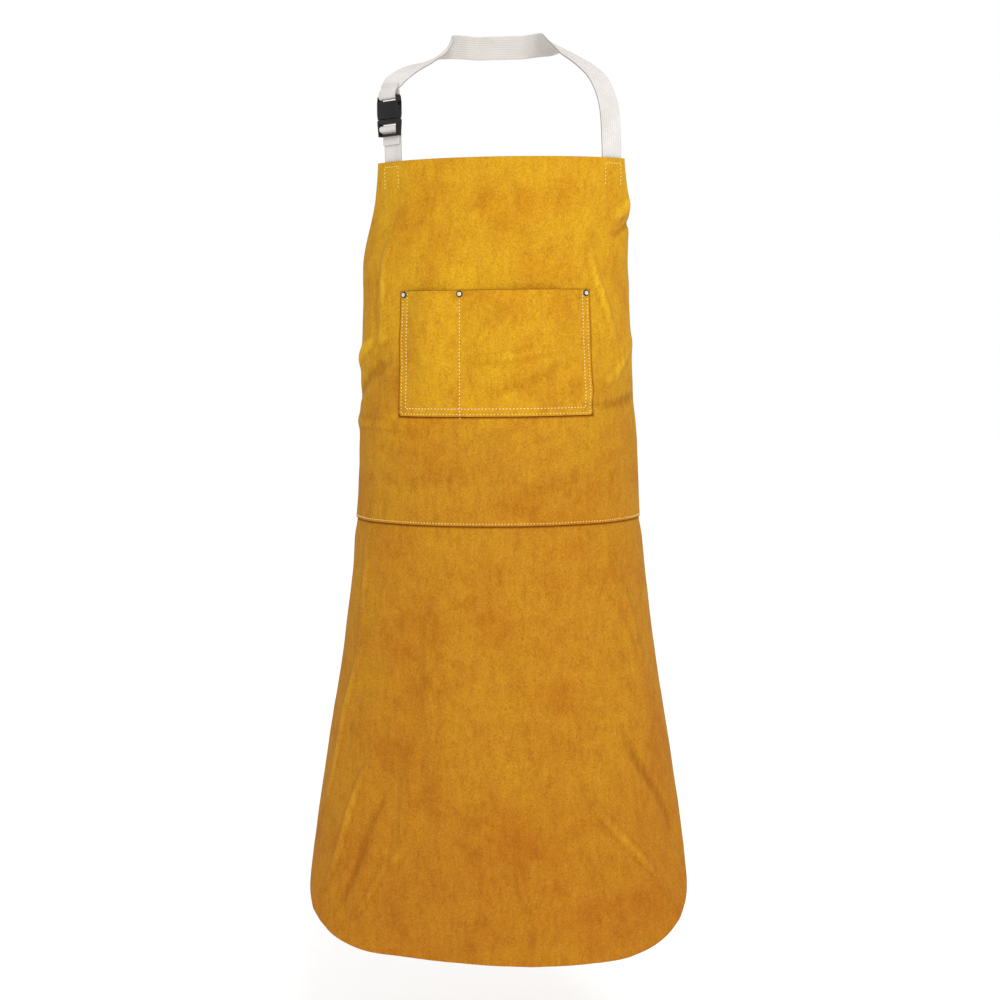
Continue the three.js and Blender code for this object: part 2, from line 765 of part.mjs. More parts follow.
makePanels();
makePocket();
makeThreads();
for (const side of Object.keys(rivetAcross)) {
  makeRivet(side);
}
makeBuckle("neck", neckFrame);
makeBuckle("waist", waistFrame);
makeNeckStraps();
makeWaistStraps();
makeStrapSewing();

// the origin is on the inner face of the neck strap, at the nape
apron.position.set(0, -(napeBack - webThick / 2), -napeUp);

export default apron;
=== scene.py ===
import bmesh
import bpy
import json
import math
import random
from mathutils import Matrix, Quaternion, Vector, noise


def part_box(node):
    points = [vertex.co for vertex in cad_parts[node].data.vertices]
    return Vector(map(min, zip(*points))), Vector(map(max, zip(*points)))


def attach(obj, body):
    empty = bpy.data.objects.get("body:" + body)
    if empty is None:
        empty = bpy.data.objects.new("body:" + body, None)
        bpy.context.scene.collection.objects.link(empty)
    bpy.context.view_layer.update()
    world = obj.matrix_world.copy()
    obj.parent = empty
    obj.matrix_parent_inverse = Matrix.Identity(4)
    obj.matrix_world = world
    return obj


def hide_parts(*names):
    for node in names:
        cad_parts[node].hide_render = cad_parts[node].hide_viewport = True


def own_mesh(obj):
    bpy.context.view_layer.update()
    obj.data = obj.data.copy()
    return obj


# Welding apron, shown as worn: split leather, webbing straps and two side-release buckles.
# Metres, +Z up, the wearer faces -Y. The frame's boxes give the bib's top, the seam and the hem, and its
# joints give the places of the buckles.

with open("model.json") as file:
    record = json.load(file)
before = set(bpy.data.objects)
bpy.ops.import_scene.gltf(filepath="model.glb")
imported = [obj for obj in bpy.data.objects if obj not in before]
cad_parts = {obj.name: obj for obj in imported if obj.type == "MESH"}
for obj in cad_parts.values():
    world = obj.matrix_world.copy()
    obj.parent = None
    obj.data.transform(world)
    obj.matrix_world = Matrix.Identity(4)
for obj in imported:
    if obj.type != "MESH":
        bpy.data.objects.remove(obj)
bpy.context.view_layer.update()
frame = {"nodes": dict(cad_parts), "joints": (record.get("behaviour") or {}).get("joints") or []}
print("frame loaded", len(frame["nodes"]), "nodes")


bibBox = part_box("bib_panel")
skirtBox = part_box("skirt_panel")
napeBack = 0.0911      # from the line over the wearer's middle to the nape
bibTop = bibBox[1][2]
seamInset = 0.003      # sewing line to the cut edge

leather = {
    "length": bibTop - skirtBox[0][2],
    "halfWidth": 0.305,
    "topHalfWidth": 0.181,
    "armholeDepth": 0.262,
    "armholePower": 1.47,     # 1 would be a straight edge
    "cornerWide": 0.144,
    "cornerTall": 0.090,
    "thick": 0.0014,
    "bibEnd": bibTop - bibBox[0][2],
    "lap": 0.032,             # how far the skirt reaches up behind the bib
    "gap": 0.0004,
    "edgeTurnExtra": 1.2,     # how much more the leather turns towards its side edges
    "topShift": 0.013,        # how far the bib's top is drawn towards +X
    "topShiftEven": 0.045,
    "topShiftEnd": 0.150,
    "backGap": 0.0009,        # from the leather to a strap sewn behind it
}

# at these shares of the length: how far the side edges turn back, in radians, and where the front line lies
hangDown = [0, 0.1406, 0.2718, 0.4686, 0.731, 1]
sideTurn = [2.27, 2.44, 2.37, 2.14, 1.57, 1.05]
frontLine = [-0.118, -0.133, -0.137, -0.143, -0.158, -0.148]


def smooth(low, high, value):
    f = min(max((value - low) / (high - low), 0), 1)
    return f * f * (3 - 2 * f)


def alongHang(values, down):
    part = min(max(down / leather["length"], 0), 1)
    last = len(hangDown) - 1
    i = 0
    while i < last - 1 and part > hangDown[i + 1]:
        i += 1

    def slope(k):
        a = max(k - 1, 0)
        b = min(k + 1, last)
        return (values[b] - values[a]) / (hangDown[b] - hangDown[a])

    span = hangDown[i + 1] - hangDown[i]
    f = (part - hangDown[i]) / span
    rise = values[i] * (1 + 2 * f) * (1 - f) ** 2 + values[i + 1] * f * f * (3 - 2 * f)
    return rise + span * (slope(i) * f * (1 - f) ** 2 + slope(i + 1) * f * f * (f - 1))


def hang(across, down, out=0.0):
    # a point of the leather: across from the middle, down from the bib's top, out from its middle layer
    steps = 16
    whole = alongHang(sideTurn, down)
    extra = leather["edgeTurnExtra"]

    def turnAt(s):
        r = s / leather["halfWidth"]
        return whole * (r + extra * r ** 3) / (1 + extra)

    fade = 1 - smooth(leather["topShiftEven"], leather["topShiftEnd"], down)
    x = leather["topShift"] * fade
    y = alongHang(frontLine, down) - napeBack
    for i in range(steps):
        turn = turnAt(across * (i + 0.5) / steps)
        x += math.cos(turn) * across / steps
        y += math.sin(turn) * across / steps
    turn = turnAt(across)
    return Vector((x + math.sin(turn) * out, y - math.cos(turn) * out, bibTop - down))


def halfWidthAt(down):
    full = leather["halfWidth"]
    top = leather["topHalfWidth"]
    if down < leather["armholeDepth"]:
        part = (max(down, 0) / leather["armholeDepth"]) ** leather["armholePower"]
        return top + (full - top) * part
    into = max(down - (leather["length"] - leather["cornerTall"]), 0) / leather["cornerTall"]
    return full - leather["cornerWide"] * (1 - math.sqrt(max(1 - into ** 2, 0)))


# creases: centre across and down, length and width along the crease, its angle, and its height
creases = [
    (-0.215, 0.895, 0.120, 0.0075, 60, 0.0042),
    (-0.190, 0.930, 0.120, 0.0070, 57, -0.0032),
    (-0.235, 0.780, 0.130, 0.0085, 66, 0.0040),
    (-0.170, 0.975, 0.070, 0.0070, 42, 0.0034),
    (-0.120, 0.860, 0.110, 0.0090, 74, 0.0024),
    (0.195, 0.915, 0.120, 0.0080, -58, 0.0038),
    (0.230, 0.830, 0.110, 0.0085, -66, -0.0034),
    (0.150, 0.960, 0.080, 0.0075, -72, 0.0026),
    (0.045, 0.975, 0.090, 0.0080, 88, 0.0024),
    (0.060, 0.760, 0.150, 0.0140, -82, 0.0022),
    (-0.075, 0.700, 0.160, 0.0150, 84, 0.0024),
    (-0.190, 0.560, 0.120, 0.0100, 76, 0.0030),
    (0.200, 0.600, 0.120, 0.0100, -80, 0.0028),
    (-0.195, 0.290, 0.060, 0.0090, 12, -0.0044),
    (-0.205, 0.250, 0.070, 0.0110, 6, 0.0050),
    (-0.190, 0.345, 0.090, 0.0090, -14, 0.0034),
    (0.200, 0.318, 0.080, 0.0085, -8, -0.0034),
    (0.195, 0.270, 0.070, 0.0095, 18, 0.0032),
    (-0.150, 0.170, 0.085, 0.0090, 74, 0.0038),
    (-0.165, 0.230, 0.080, 0.0080, 84, -0.0030),
    (0.160, 0.180, 0.090, 0.0090, -80, 0.0036),
    (0.190, 0.060, 0.030, 0.0140, 0, 0.0046),
    (0.200, 0.086, 0.034, 0.0070, 0, -0.0040),
    (-0.020, 0.070, 0.060, 0.0120, 40, 0.0018),
    (0.020, 0.090, 0.060, 0.0110, -36, 0.0018),
    (0.035, 0.255, 0.075, 0.0095, -8, 0.0026),
    (0.060, 0.285, 0.070, 0.0090, 6, -0.0022),
    (0.000, 0.225, 0.045, 0.0085, 28, 0.0024),
    (0.110, 0.415, 0.120, 0.0130, 12, 0.0018),
    (-0.100, 0.420, 0.110, 0.0120, -10, -0.0018),
]


def creaseHeight(across, down):
    total = 0.0
    for centre, depth, long, wide, angle, height in creases:
        dx = across - centre
        dz = down - depth
        if abs(dx) > 2.2 * long or abs(dz) > 2.2 * long:
            continue
        c = math.cos(math.radians(angle))
        s = math.sin(math.radians(angle))
        along = dx * c - dz * s
        aside = dx * s + dz * c + 0.012 * math.sin(along / long * 2.0)
        total += height * math.exp(-(along / long) ** 2 - (aside / wide) ** 2)
    return total


waves = {"slow": 0.0034, "dents": 0.0011, "small": 0.00032, "flare": 0.007}      # their heights


def ripple(across, down):
    # slow waves of the hide, small hand-sized dents, and the flare of the free hem
    slow = noise.noise(Vector((across * 5.5, down * 3.6, 0.7))) * waves["slow"]
    dents = noise.noise(Vector((across * 19, down * 14, 3.1))) * waves["dents"]
    small = noise.noise(Vector((across * 60, down * 48, 5.3))) * waves["small"]
    flare = smooth(0.62, 1.06, down) * waves["flare"] * math.sin(across * 17 + 0.6)
    return slow + dents + small + flare


# the leather lies flat where a strap end is sewn on: middle across, middle down, half width, half height
sewnEnds = [(-0.152, 0.021, 0.018, 0.024), (0.161, 0.021, 0.018, 0.024),
            (-0.284, 0.300, 0.024, 0.019), (0.284, 0.300, 0.024, 0.019)]


def drape(across, down):
    # how far the leather stands off its plain curve
    calm = 0.35 + 0.65 * smooth(0.0, 0.03, down)
    for middle, depth, wide, tall in sewnEnds:
        past = math.hypot(max(abs(across - middle) - wide, 0), max(abs(down - depth) - tall, 0))
        calm *= smooth(0.0, 0.035, past)
    if calm == 0:
        return 0.0
    return (ripple(across, down) + creaseHeight(across, down)) * calm


pocket = {
    "left": -0.121,
    "wide": 0.263,
    "down": 0.171,
    "tall": 0.163,
    "small": 0.086,        # the left compartment's width
    "hem": 0.013,
    "bulge": 0.0075,
    "roll": 0.0006,
    "taper": 0.0042,       # how far each top corner is drawn in
    "outerRow": 0.003,     # the sewing rows, in from the cut edge
    "innerRow": 0.010,
}
pocketMiddle = pocket["left"] + pocket["wide"] / 2
pocketBottom = pocket["down"] + pocket["tall"]


def pocketAcross(share, down):
    # across the apron, for a distance across the pocket from its left edge
    up = (pocketBottom - down) / pocket["tall"]
    return pocketMiddle + (share - pocket["wide"] / 2) * (1 - pocket["taper"] * 2 / pocket["wide"] * up)


def seamPull(down):
    # both layers are drawn in along the sewing
    line = leather["bibEnd"] - seamInset
    return -0.00035 * math.exp(-((down - line) / 0.0016) ** 2)


def bibOut(across, down):
    return drape(across, down)


def skirtOut(across, down):
    past = smooth(leather["bibEnd"] + 0.0012, leather["bibEnd"] + 0.030, down)
    return drape(across, down) - (leather["thick"] + leather["gap"]) * (1 - past)


def finishMesh(name, bm):
    mesh = bpy.data.meshes.new(name)
    bm.to_mesh(mesh)
    bm.free()
    mesh.polygons.foreach_set("use_smooth", [True] * len(mesh.polygons))
    piece = bpy.data.objects.new(name, mesh)
    bpy.context.scene.collection.objects.link(piece)
    return piece


def spread(stops, steps):
    # values through the stops, with that many equal steps in each span
    values = [stops[0]]
    for a, b, count in zip(stops, stops[1:], steps):
        values += [a + (b - a) * (i + 1) / count for i in range(count)]
    return values


def gridSheet(name, acrossShares, downs, place, thick, material, edgeMaterial=None):
    # a sheet made from a grid; place(share, down) gives (across, down, point) on its middle layer
    columns = len(acrossShares)
    rows = len(downs)
    bm = bmesh.new()
    bmesh.ops.create_grid(bm, x_segments=columns - 1, y_segments=rows - 1, size=1)
    uvLayer = bm.loops.layers.uv.new("cloth")
    foldLayer = bm.verts.layers.float.new("fold")      # 0.5 where flat, 1 on a crest of 4.5 mm
    flat = {}
    for vert in bm.verts:
        i = round((vert.co.x + 1) / 2 * (columns - 1))
        j = round((1 - vert.co.y) / 2 * (rows - 1))
        across, down, point = place(acrossShares[i], downs[j])
        flat[vert] = (across, down)
        vert[foldLayer] = 0.5 + creaseHeight(across, down) / 0.009
        vert.co = point
    for face in bm.faces:
        for loop in face.loops:
            loop[uvLayer].uv = flat[loop.vert]
    piece = finishMesh(name, bm)
    piece.data.materials.append(material)
    piece.data.materials.append(edgeMaterial or material)
    piece.data.materials.append(fleshSuede)
    shell = piece.modifiers.new("thickness", "SOLIDIFY")
    shell.thickness = thick
    shell.offset = 0
    shell.use_even_offset = False
    shell.material_offset = 2
    shell.material_offset_rim = 1
    return piece


def applyModifiers(piece):
    bpy.context.view_layer.objects.active = piece
    for modifier in list(piece.modifiers):
        with bpy.context.temp_override(object=piece, active_object=piece):
            bpy.ops.object.modifier_apply(modifier=modifier.name)


class Nodes:
    # short calls for a material's node tree
    def __init__(self, name):
        self.material = bpy.data.materials.new(name)
        self.material.use_nodes = True
        self.tree = self.material.node_tree
        self.shader = self.tree.nodes["Principled BSDF"]

    def add(self, kind, **inputs):
        node = self.tree.nodes.new(kind)
        for key, value in inputs.items():
            node.inputs[key].default_value = value
        return node

    def link(self, source, output, target, entry):
        self.tree.links.new(source.outputs[output], target.inputs[entry])

    def set(self, **values):
        for key, value in values.items():
            self.shader.inputs[key.replace("_", " ")].default_value = value

    def noise(self, source, output, scale, detail=3.0, roughness=0.55):
        node = self.add("ShaderNodeTexNoise", Scale=scale, Detail=detail, Roughness=roughness)
        self.link(source, output, node, "Vector")
        return node

    def ramp(self, source, output, stops):
        node = self.tree.nodes.new("ShaderNodeValToRGB")
        node.color_ramp.elements[0].position = stops[0][0]
        node.color_ramp.elements[0].color = (*stops[0][1], 1)
        node.color_ramp.elements[1].position = stops[-1][0]
        node.color_ramp.elements[1].color = (*stops[-1][1], 1)
        for position, colour in stops[1:-1]:
            node.color_ramp.elements.new(position).color = (*colour, 1)
        self.link(source, output, node, "Fac")
        return node

    def mix(self, blend, factor, a, b):
        # a and b are (node, output) or a colour
        node = self.tree.nodes.new("ShaderNodeMix")
        node.data_type = "RGBA"
        node.blend_type = blend
        node.inputs[0].default_value = factor
        for value, entry in ((a, 6), (b, 7)):
            if isinstance(value[0], bpy.types.Node):
                self.tree.links.new(value[0].outputs[value[1]], node.inputs[entry])
            else:
                node.inputs[entry].default_value = (*value, 1)
        return node

    def math(self, operation, a, b):
        node = self.tree.nodes.new("ShaderNodeMath")
        node.operation = operation
        for value, entry in ((a, 0), (b, 1)):
            if isinstance(value, tuple):
                self.tree.links.new(value[0].outputs[value[1]], node.inputs[entry])
            else:
                node.inputs[entry].default_value = value
        return node

    def bump(self, source, output, strength, distance, under=None):
        node = self.add("ShaderNodeBump", Strength=strength, Distance=distance)
        self.link(source, output, node, "Height")
        if under is not None:
            self.link(under, "Normal", node, "Normal")
        return node


plain = (1, 1, 1)      # leaves the colour under it as it is
suede = {
    "top": (0.455, 0.226, 0.0090),        # dye at the bib's top, the waist, mid skirt and the hem, darker downwards partly as painted shade
    "waist": (0.374, 0.163, 0.0095),
    "skirt": (0.366, 0.152, 0.0088),
    "hem": (0.350, 0.132, 0.0080),
    # the cut edge: a dark dye, darkened further as painted shade for the dark line along the pieces' edges
    "edge": (0.150, 0.048, 0.0080),
    "sheen": 0.06,
}


def addPaintedEdgeShadow(n, split, colour, middle, half, taper):
    # a painted shadow: a dark line on the leather beside the cut edge of the piece sewn on it
    beside = n.math("ABSOLUTE", (n.math("SUBTRACT", (split, "X"), middle[0]), "Value"), 0.0)
    above = n.math("SUBTRACT", middle[1] + half[1], (split, "Y"))
    drawn = n.math("MULTIPLY", (above, "Value"), taper)
    wide = n.math("ADD", (n.math("SUBTRACT", (beside, "Value"), half[0]), "Value"), (drawn, "Value"))
    below = n.math("MULTIPLY", (above, "Value"), -1.0)
    over = n.math("MULTIPLY", (n.math("SUBTRACT", (above, "Value"), 2 * half[1]), "Value"), 4.0)
    sideOrBase = n.math("MAXIMUM", (wide, "Value"), (below, "Value"))
    most = n.math("MAXIMUM", (sideOrBase, "Value"), (over, "Value"))
    part = n.math("MULTIPLY_ADD", (most, "Value"), 100.0)
    part.inputs[2].default_value = 0.4       # at the cut edge, and 0.1 more for each millimetre outside it
    line = n.ramp(part, "Value", [(0.20, plain), (0.34, (0.30, 0.14, 0.07)), (0.43, (0.34, 0.17, 0.09)),
                                  (0.58, (0.60, 0.42, 0.30)), (0.80, plain)])
    return n.mix("MULTIPLY", 1.0, colour, (line, "Color"))


def makeSuede(name, seed, brushed, paintedShadow=None, lift=0.0):
    n = Nodes(name)
    cloth = n.tree.nodes.new("ShaderNodeUVMap")
    cloth.uv_map = "cloth"
    split = n.add("ShaderNodeSeparateXYZ")
    n.link(cloth, "UV", split, "Vector")
    place = n.tree.nodes.new("ShaderNodeTexCoord")
    moved = n.tree.nodes.new("ShaderNodeMapping")
    moved.inputs["Location"].default_value = (seed, seed * 2, seed * 3)
    n.link(place, "Object", moved, "Vector")

    # the colour goes from golden at the top to browner and darker at the hem, with a wandering boundary:
    # partly the leather's dye, partly painted shade of light from above
    clouds = n.noise(moved, "Vector", 5.0, 5.0, 0.62)
    drift = n.math("MULTIPLY", (n.math("SUBTRACT", (clouds, "Fac"), 0.5), "Value"), 0.75)
    height = n.math("ADD", (n.math("SUBTRACT", (split, "Y"), lift), "Value"), (drift, "Value"))
    dyeAndPaintedShade = n.ramp(height, "Value", [(0.22, suede["top"]), (0.39, suede["waist"]), (0.72, suede["skirt"]),
                                   (1.0, suede["hem"])])

    # hand-sized clouds that lean to orange or to yellow
    patches = n.noise(moved, "Vector", 11.0, 6.0, 0.68)
    hue = n.ramp(patches, "Fac", [(0.34, (0.90, 0.76, 0.68)), (0.50, plain), (0.66, (1.04, 1.12, 0.95))])
    hued = n.mix("MULTIPLY", 0.85, (dyeAndPaintedShade, "Color"), (hue, "Color"))

    # streaks of the nap
    stretch = n.tree.nodes.new("ShaderNodeMapping")
    stretch.inputs["Scale"].default_value = (130, 34, 1)
    stretch.inputs["Rotation"].default_value = (0, 0, brushed)
    n.link(cloth, "UV", stretch, "Vector")
    nap = n.noise(stretch, "Vector", 1.0, 5.0, 0.68)
    napTone = n.ramp(nap, "Fac", [(0.30, (0.82, 0.77, 0.73)), (0.50, plain), (0.72, (1.09, 1.11, 1.12))])
    toned = n.mix("MULTIPLY", 0.7, (hued, 2), (napTone, "Color"))

    # finger marks where the fibres lie the other way
    blotch = n.noise(moved, "Vector", 46.0, 6.0, 0.72)
    blotchTone = n.ramp(blotch, "Fac", [(0.34, (0.86, 0.81, 0.77)), (0.50, plain),
                                      (0.68, (1.06, 1.09, 1.10))])
    blotched = n.mix("MULTIPLY", 0.6, (toned, 2), (blotchTone, "Color"))

    # creases get a painted highlight along the crest and painted shade in the valley
    fold = n.tree.nodes.new("ShaderNodeAttribute")
    fold.attribute_name = "fold"
    broken = n.math("MULTIPLY_ADD", (n.math("SUBTRACT", (nap, "Fac"), 0.5), "Value"), 0.30)
    n.link(fold, "Fac", broken, 2)
    creaseLightAndShade = n.ramp(broken, "Value", [(0.16, (0.76, 0.67, 0.60)), (0.40, plain), (0.56, plain),
                                      (0.66, (0.92, 0.88, 0.85)), (0.78, (1.02, 1.04, 1.04)),
                                      (0.92, (1.22, 1.32, 1.40))])
    creased = n.mix("MULTIPLY", 0.9, (blotched, 2), (creaseLightAndShade, "Color"))

    # single fibres and pores
    fibres = n.noise(moved, "Vector", 430.0, 5.0, 0.8)
    fibreTone = n.ramp(fibres, "Fac", [(0.32, (0.58, 0.50, 0.44)), (0.5, plain), (0.68, (1.30, 1.34, 1.40))])
    fine = n.mix("MULTIPLY", 0.7, (creased, 2), (fibreTone, "Color"))
    pores = n.add("ShaderNodeTexVoronoi", Scale=300.0, Randomness=1.0)
    n.link(moved, "Vector", pores, "Vector")
    poreTone = n.ramp(pores, "Distance", [(0.06, (0.55, 0.42, 0.30)), (0.20, plain)])
    last = n.mix("MULTIPLY", 0.5, (fine, 2), (poreTone, "Color"))
    # a painted shadow line beside the cut edge of a piece sewn on top
    if paintedShadow:
        last = addPaintedEdgeShadow(n, split, (last, 2), *paintedShadow)
    n.link(last, 2, n.shader, "Base Color")

    rough = n.ramp(nap, "Fac", [(0.3, (0.98, 0.98, 0.98)), (0.7, (0.86, 0.86, 0.86))])
    n.link(rough, "Color", n.shader, "Roughness")
    wrinkles = n.noise(moved, "Vector", 90.0, 5.0, 0.6)
    low = n.bump(wrinkles, "Fac", 0.55, 0.0022)
    mid = n.bump(blotch, "Fac", 0.35, 0.0026, low)
    high = n.bump(fibres, "Fac", 0.5, 0.0006, mid)
    n.link(high, "Normal", n.shader, "Normal")
    n.set(Specular_IOR_Level=0.08)
    n.set(Sheen_Weight=suede["sheen"], Sheen_Roughness=0.5, Sheen_Tint=(1.0, 0.7, 0.25, 1))
    return n.material


def makeCutEdge():
    n = Nodes("leatherCutEdge")
    place = n.tree.nodes.new("ShaderNodeTexCoord")
    fibres = n.noise(place, "Object", 1500.0, 4.0, 0.7)
    # the cut edge's dark colour is partly its dye and partly painted shade
    dark = tuple(c * 0.6 for c in suede["edge"])
    pale = tuple(c * 1.7 for c in suede["edge"])
    tone = n.ramp(fibres, "Fac", [(0.3, dark), (0.55, suede["edge"]), (0.75, pale)])
    n.link(tone, "Color", n.shader, "Base Color")
    n.link(n.bump(fibres, "Fac", 0.8, 0.0004), "Normal", n.shader, "Normal")
    n.set(Roughness=0.95, Specular_IOR_Level=0.08)
    return n.material


def makeThread(name, dark, middle, pale):
    n = Nodes(name)
    place = n.tree.nodes.new("ShaderNodeTexCoord")
    twist = n.noise(place, "Object", 2600.0, 2.0, 0.6)
    tone = n.ramp(twist, "Fac", [(0.3, dark), (0.55, middle), (0.8, pale)])
    n.link(tone, "Color", n.shader, "Base Color")
    n.link(n.bump(twist, "Fac", 0.7, 0.0002), "Normal", n.shader, "Normal")
    n.set(Roughness=0.62, Sheen_Weight=0.15, Specular_IOR_Level=0.3)
    return n.material


weave = {"warp": 0.0016, "weft": 0.0021, "rib": 0.0031}      # how far apart the threads lie


def makeWebbing():
    # plain-woven cotton: warp cords along the strap, weft across it, from the strap's own flat map
    n = Nodes("cottonWebbing")
    cloth = n.tree.nodes.new("ShaderNodeUVMap")
    cloth.uv_map = "cloth"
    split = n.add("ShaderNodeSeparateXYZ")
    n.link(cloth, "UV", split, "Vector")

    def wave(axis, pitch):
        turns = n.math("MULTIPLY", (split, axis), 2 * math.pi / pitch)
        return n.math("SINE", (turns, "Value"), 0.0)

    warp = wave("X", weave["warp"])
    weft = wave("Y", weave["weft"])
    crossed = n.math("MULTIPLY", (warp, "Value"), (weft, "Value"))
    cords = n.math("ABSOLUTE", (warp, "Value"), 0.0)
    ribs = wave("X", weave["rib"])
    woven = n.math("ADD", (n.math("MULTIPLY", (crossed, "Value"), 0.35), "Value"), (cords, "Value"))
    height = n.math("ADD", (n.math("MULTIPLY", (ribs, "Value"), 0.14), "Value"), (woven, "Value"))
    place = n.tree.nodes.new("ShaderNodeTexCoord")
    fuzz = n.noise(place, "Object", 1300.0, 4.0, 0.65)
    cloud = n.noise(place, "Object", 28.0, 4.0, 0.6)
    # darker where the threads dip, lighter on the cords: painted shade in the weave's hollows
    tone = n.ramp(height, "Value", [(0.0, (0.30, 0.27, 0.255)), (0.45, (0.55, 0.52, 0.495)),
                                    (1.0, (0.68, 0.655, 0.63))])
    cloudTone = n.ramp(cloud, "Fac", [(0.3, (0.86, 0.84, 0.83)), (0.6, plain)])
    fuzzTone = n.ramp(fuzz, "Fac", [(0.3, (0.84, 0.83, 0.82)), (0.6, (1.05, 1.05, 1.05))])
    a = n.mix("MULTIPLY", 0.8, (tone, "Color"), (cloudTone, "Color"))
    b = n.mix("MULTIPLY", 0.7, (a, 2), (fuzzTone, "Color"))
    n.link(b, 2, n.shader, "Base Color")
    low = n.bump(height, "Value", 0.5, 0.0003)
    n.link(n.bump(fuzz, "Fac", 0.25, 0.00015, low), "Normal", n.shader, "Normal")
    n.set(Roughness=0.88, Sheen_Weight=0.3, Sheen_Roughness=0.5, Specular_IOR_Level=0.2)
    return n.material


def makeBucklePlastic():
    n = Nodes("mouldedPlastic")
    place = n.tree.nodes.new("ShaderNodeTexCoord")
    spark = n.noise(place, "Object", 1800.0, 2.0, 0.5)
    scuff = n.noise(place, "Object", 160.0, 6.0, 0.75)
    tone = n.ramp(scuff, "Fac", [(0.35, (0.006, 0.006, 0.006)), (0.62, (0.0085, 0.008, 0.008)),
                                 (0.8, (0.018, 0.017, 0.016))])
    n.link(tone, "Color", n.shader, "Base Color")
    rough = n.ramp(scuff, "Fac", [(0.3, (0.42, 0.42, 0.42)), (0.7, (0.62, 0.62, 0.62))])
    n.link(rough, "Color", n.shader, "Roughness")
    n.link(n.bump(spark, "Fac", 0.25, 0.0002), "Normal", n.shader, "Normal")
    n.set(Specular_IOR_Level=0.2)
    return n.material


def makeNickel(name, dark, pale):
    n = Nodes(name)
    place = n.tree.nodes.new("ShaderNodeTexCoord")
    wear = n.noise(place, "Object", 420.0, 5.0, 0.7)
    tone = n.ramp(wear, "Fac", [(0.3, dark), (0.6, pale)])
    n.link(tone, "Color", n.shader, "Base Color")
    rough = n.ramp(wear, "Fac", [(0.3, (0.34, 0.34, 0.34)), (0.7, (0.2, 0.2, 0.2))])
    n.link(rough, "Color", n.shader, "Roughness")
    n.link(n.bump(wear, "Fac", 0.12, 0.0002), "Normal", n.shader, "Normal")
    n.set(Metallic=1.0)
    return n.material


# where the painted shadow lines go, beside the pocket and under the bib's lower edge: middle, half size and
# how much the sides draw in
pocketPaintedShadow = (
    (pocketMiddle, pocketBottom - pocket["tall"] / 2),
    (pocket["wide"] / 2, pocket["tall"] / 2),
    pocket["taper"] / pocket["tall"],
)
seamPaintedShadow = ((0, leather["bibEnd"] - 0.5), (1, 0.5), 0)
bibSuede = makeSuede("bibSuede", 0.0, 0.5, pocketPaintedShadow)
skirtSuede = makeSuede("skirtSuede", 1.7, -0.35, seamPaintedShadow)
pocketSuede = makeSuede("pocketSuede", 3.1, 0.9, lift=0.06)
fleshSuede = makeSuede("fleshSuede", 5.3, 0.2)        # the side worn inwards
cutEdge = makeCutEdge()
creamThread = makeThread("creamThread", (0.52, 0.42, 0.20), (0.78, 0.68, 0.40), (0.90, 0.82, 0.56))
goldThread = makeThread("goldThread", (0.50, 0.34, 0.08), (0.78, 0.58, 0.19), (0.88, 0.72, 0.34))
webFinish = makeWebbing()
plasticFinish = makeBucklePlastic()
# one nickel in two copies: a dark one as painted shade on the rivets' rims and sides, a pale one as painted
# highlight on their tops
nickelPaintedShade = makeNickel("nickelPaintedShade", (0.020, 0.020, 0.022), (0.050, 0.050, 0.052))
nickelPaintedHighlight = makeNickel("nickelPaintedHighlight", (0.45, 0.45, 0.46), (0.80, 0.80, 0.80))
print("materials made")


def acrossShares(count):
    # closer together towards the side edges, where the leather turns most
    crowd = 1.0
    return [math.sin(crowd * (2 * i / count - 1)) / math.sin(crowd) for i in range(count + 1)]


def placeOn(outAt):
    def place(share, down):
        across = share * halfWidthAt(down)
        return across, down, hang(across, down, outAt(across, down) + seamPull(down))
    return place


def makeBib():
    end = leather["bibEnd"]
    line = end - seamInset
    downs = spread([0, 0.006, line - 0.006, line + 0.0024, end], [3, 104, 14, 1])
    shares = acrossShares(132)
    piece = gridSheet("bibPanel", shares, downs, placeOn(bibOut), leather["thick"], bibSuede, cutEdge)
    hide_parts("bib_panel")
    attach(piece, "root")


def makeSkirt():
    start = leather["bibEnd"] - leather["lap"]
    line = leather["bibEnd"] - seamInset
    cornerTop = leather["length"] - leather["cornerTall"]
    bottom = leather["length"]
    downs = spread([start, line - 0.006, leather["bibEnd"] + 0.008, cornerTop], [3, 14, 100])
    corner = 34
    for i in range(corner):
        downs.append(cornerTop + (bottom - cornerTop) * math.sin((i + 1) / corner * math.pi / 2))
    shares = acrossShares(132)
    piece = gridSheet("skirtPanel", shares, downs, placeOn(skirtOut), leather["thick"], skirtSuede, cutEdge)
    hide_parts("skirt_panel")
    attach(piece, "root")


makeBib()
makeSkirt()
print("bib and skirt made")


layerStep = leather["thick"] + leather["gap"]


def pocketStand(across, down):
    # how far the pocket stands off the bib
    divider = pocket["left"] + pocket["small"]
    right = pocket["left"] + pocket["wide"]
    hem = pocket["hem"]
    if across < divider:
        low, high = pocket["left"] + hem, divider - hem / 2
    else:
        low, high = divider + hem / 2, right - hem
    part = min(max((across - low) / (high - low), 0), 1)
    bottom = pocket["down"] + pocket["tall"] - hem
    fall = min(max((bottom - down) / (pocket["tall"] * 0.6), 0), 1)
    swell = math.sin(math.pi * part) ** 1.15 * math.sin(fall * math.pi / 2)
    return layerStep + pocket["bulge"] * swell


def sewnDip(across, down):
    # small hollows along the sewing rows of the pocket
    total = 0.0
    for inset in (pocket["outerRow"], pocket["innerRow"]):
        left = pocketAcross(inset, down)
        right = pocketAcross(pocket["wide"] - inset, down)
        sides = min(abs(across - left), abs(right - across))
        base = abs(pocketBottom - inset - down)
        near = min(sides, base)
        total -= 0.00035 * math.exp(-(near / 0.0013) ** 2)
    return total


def pocketOut(across, down):
    return pocketStand(across, down) + bibOut(across, down) + sewnDip(across, down)


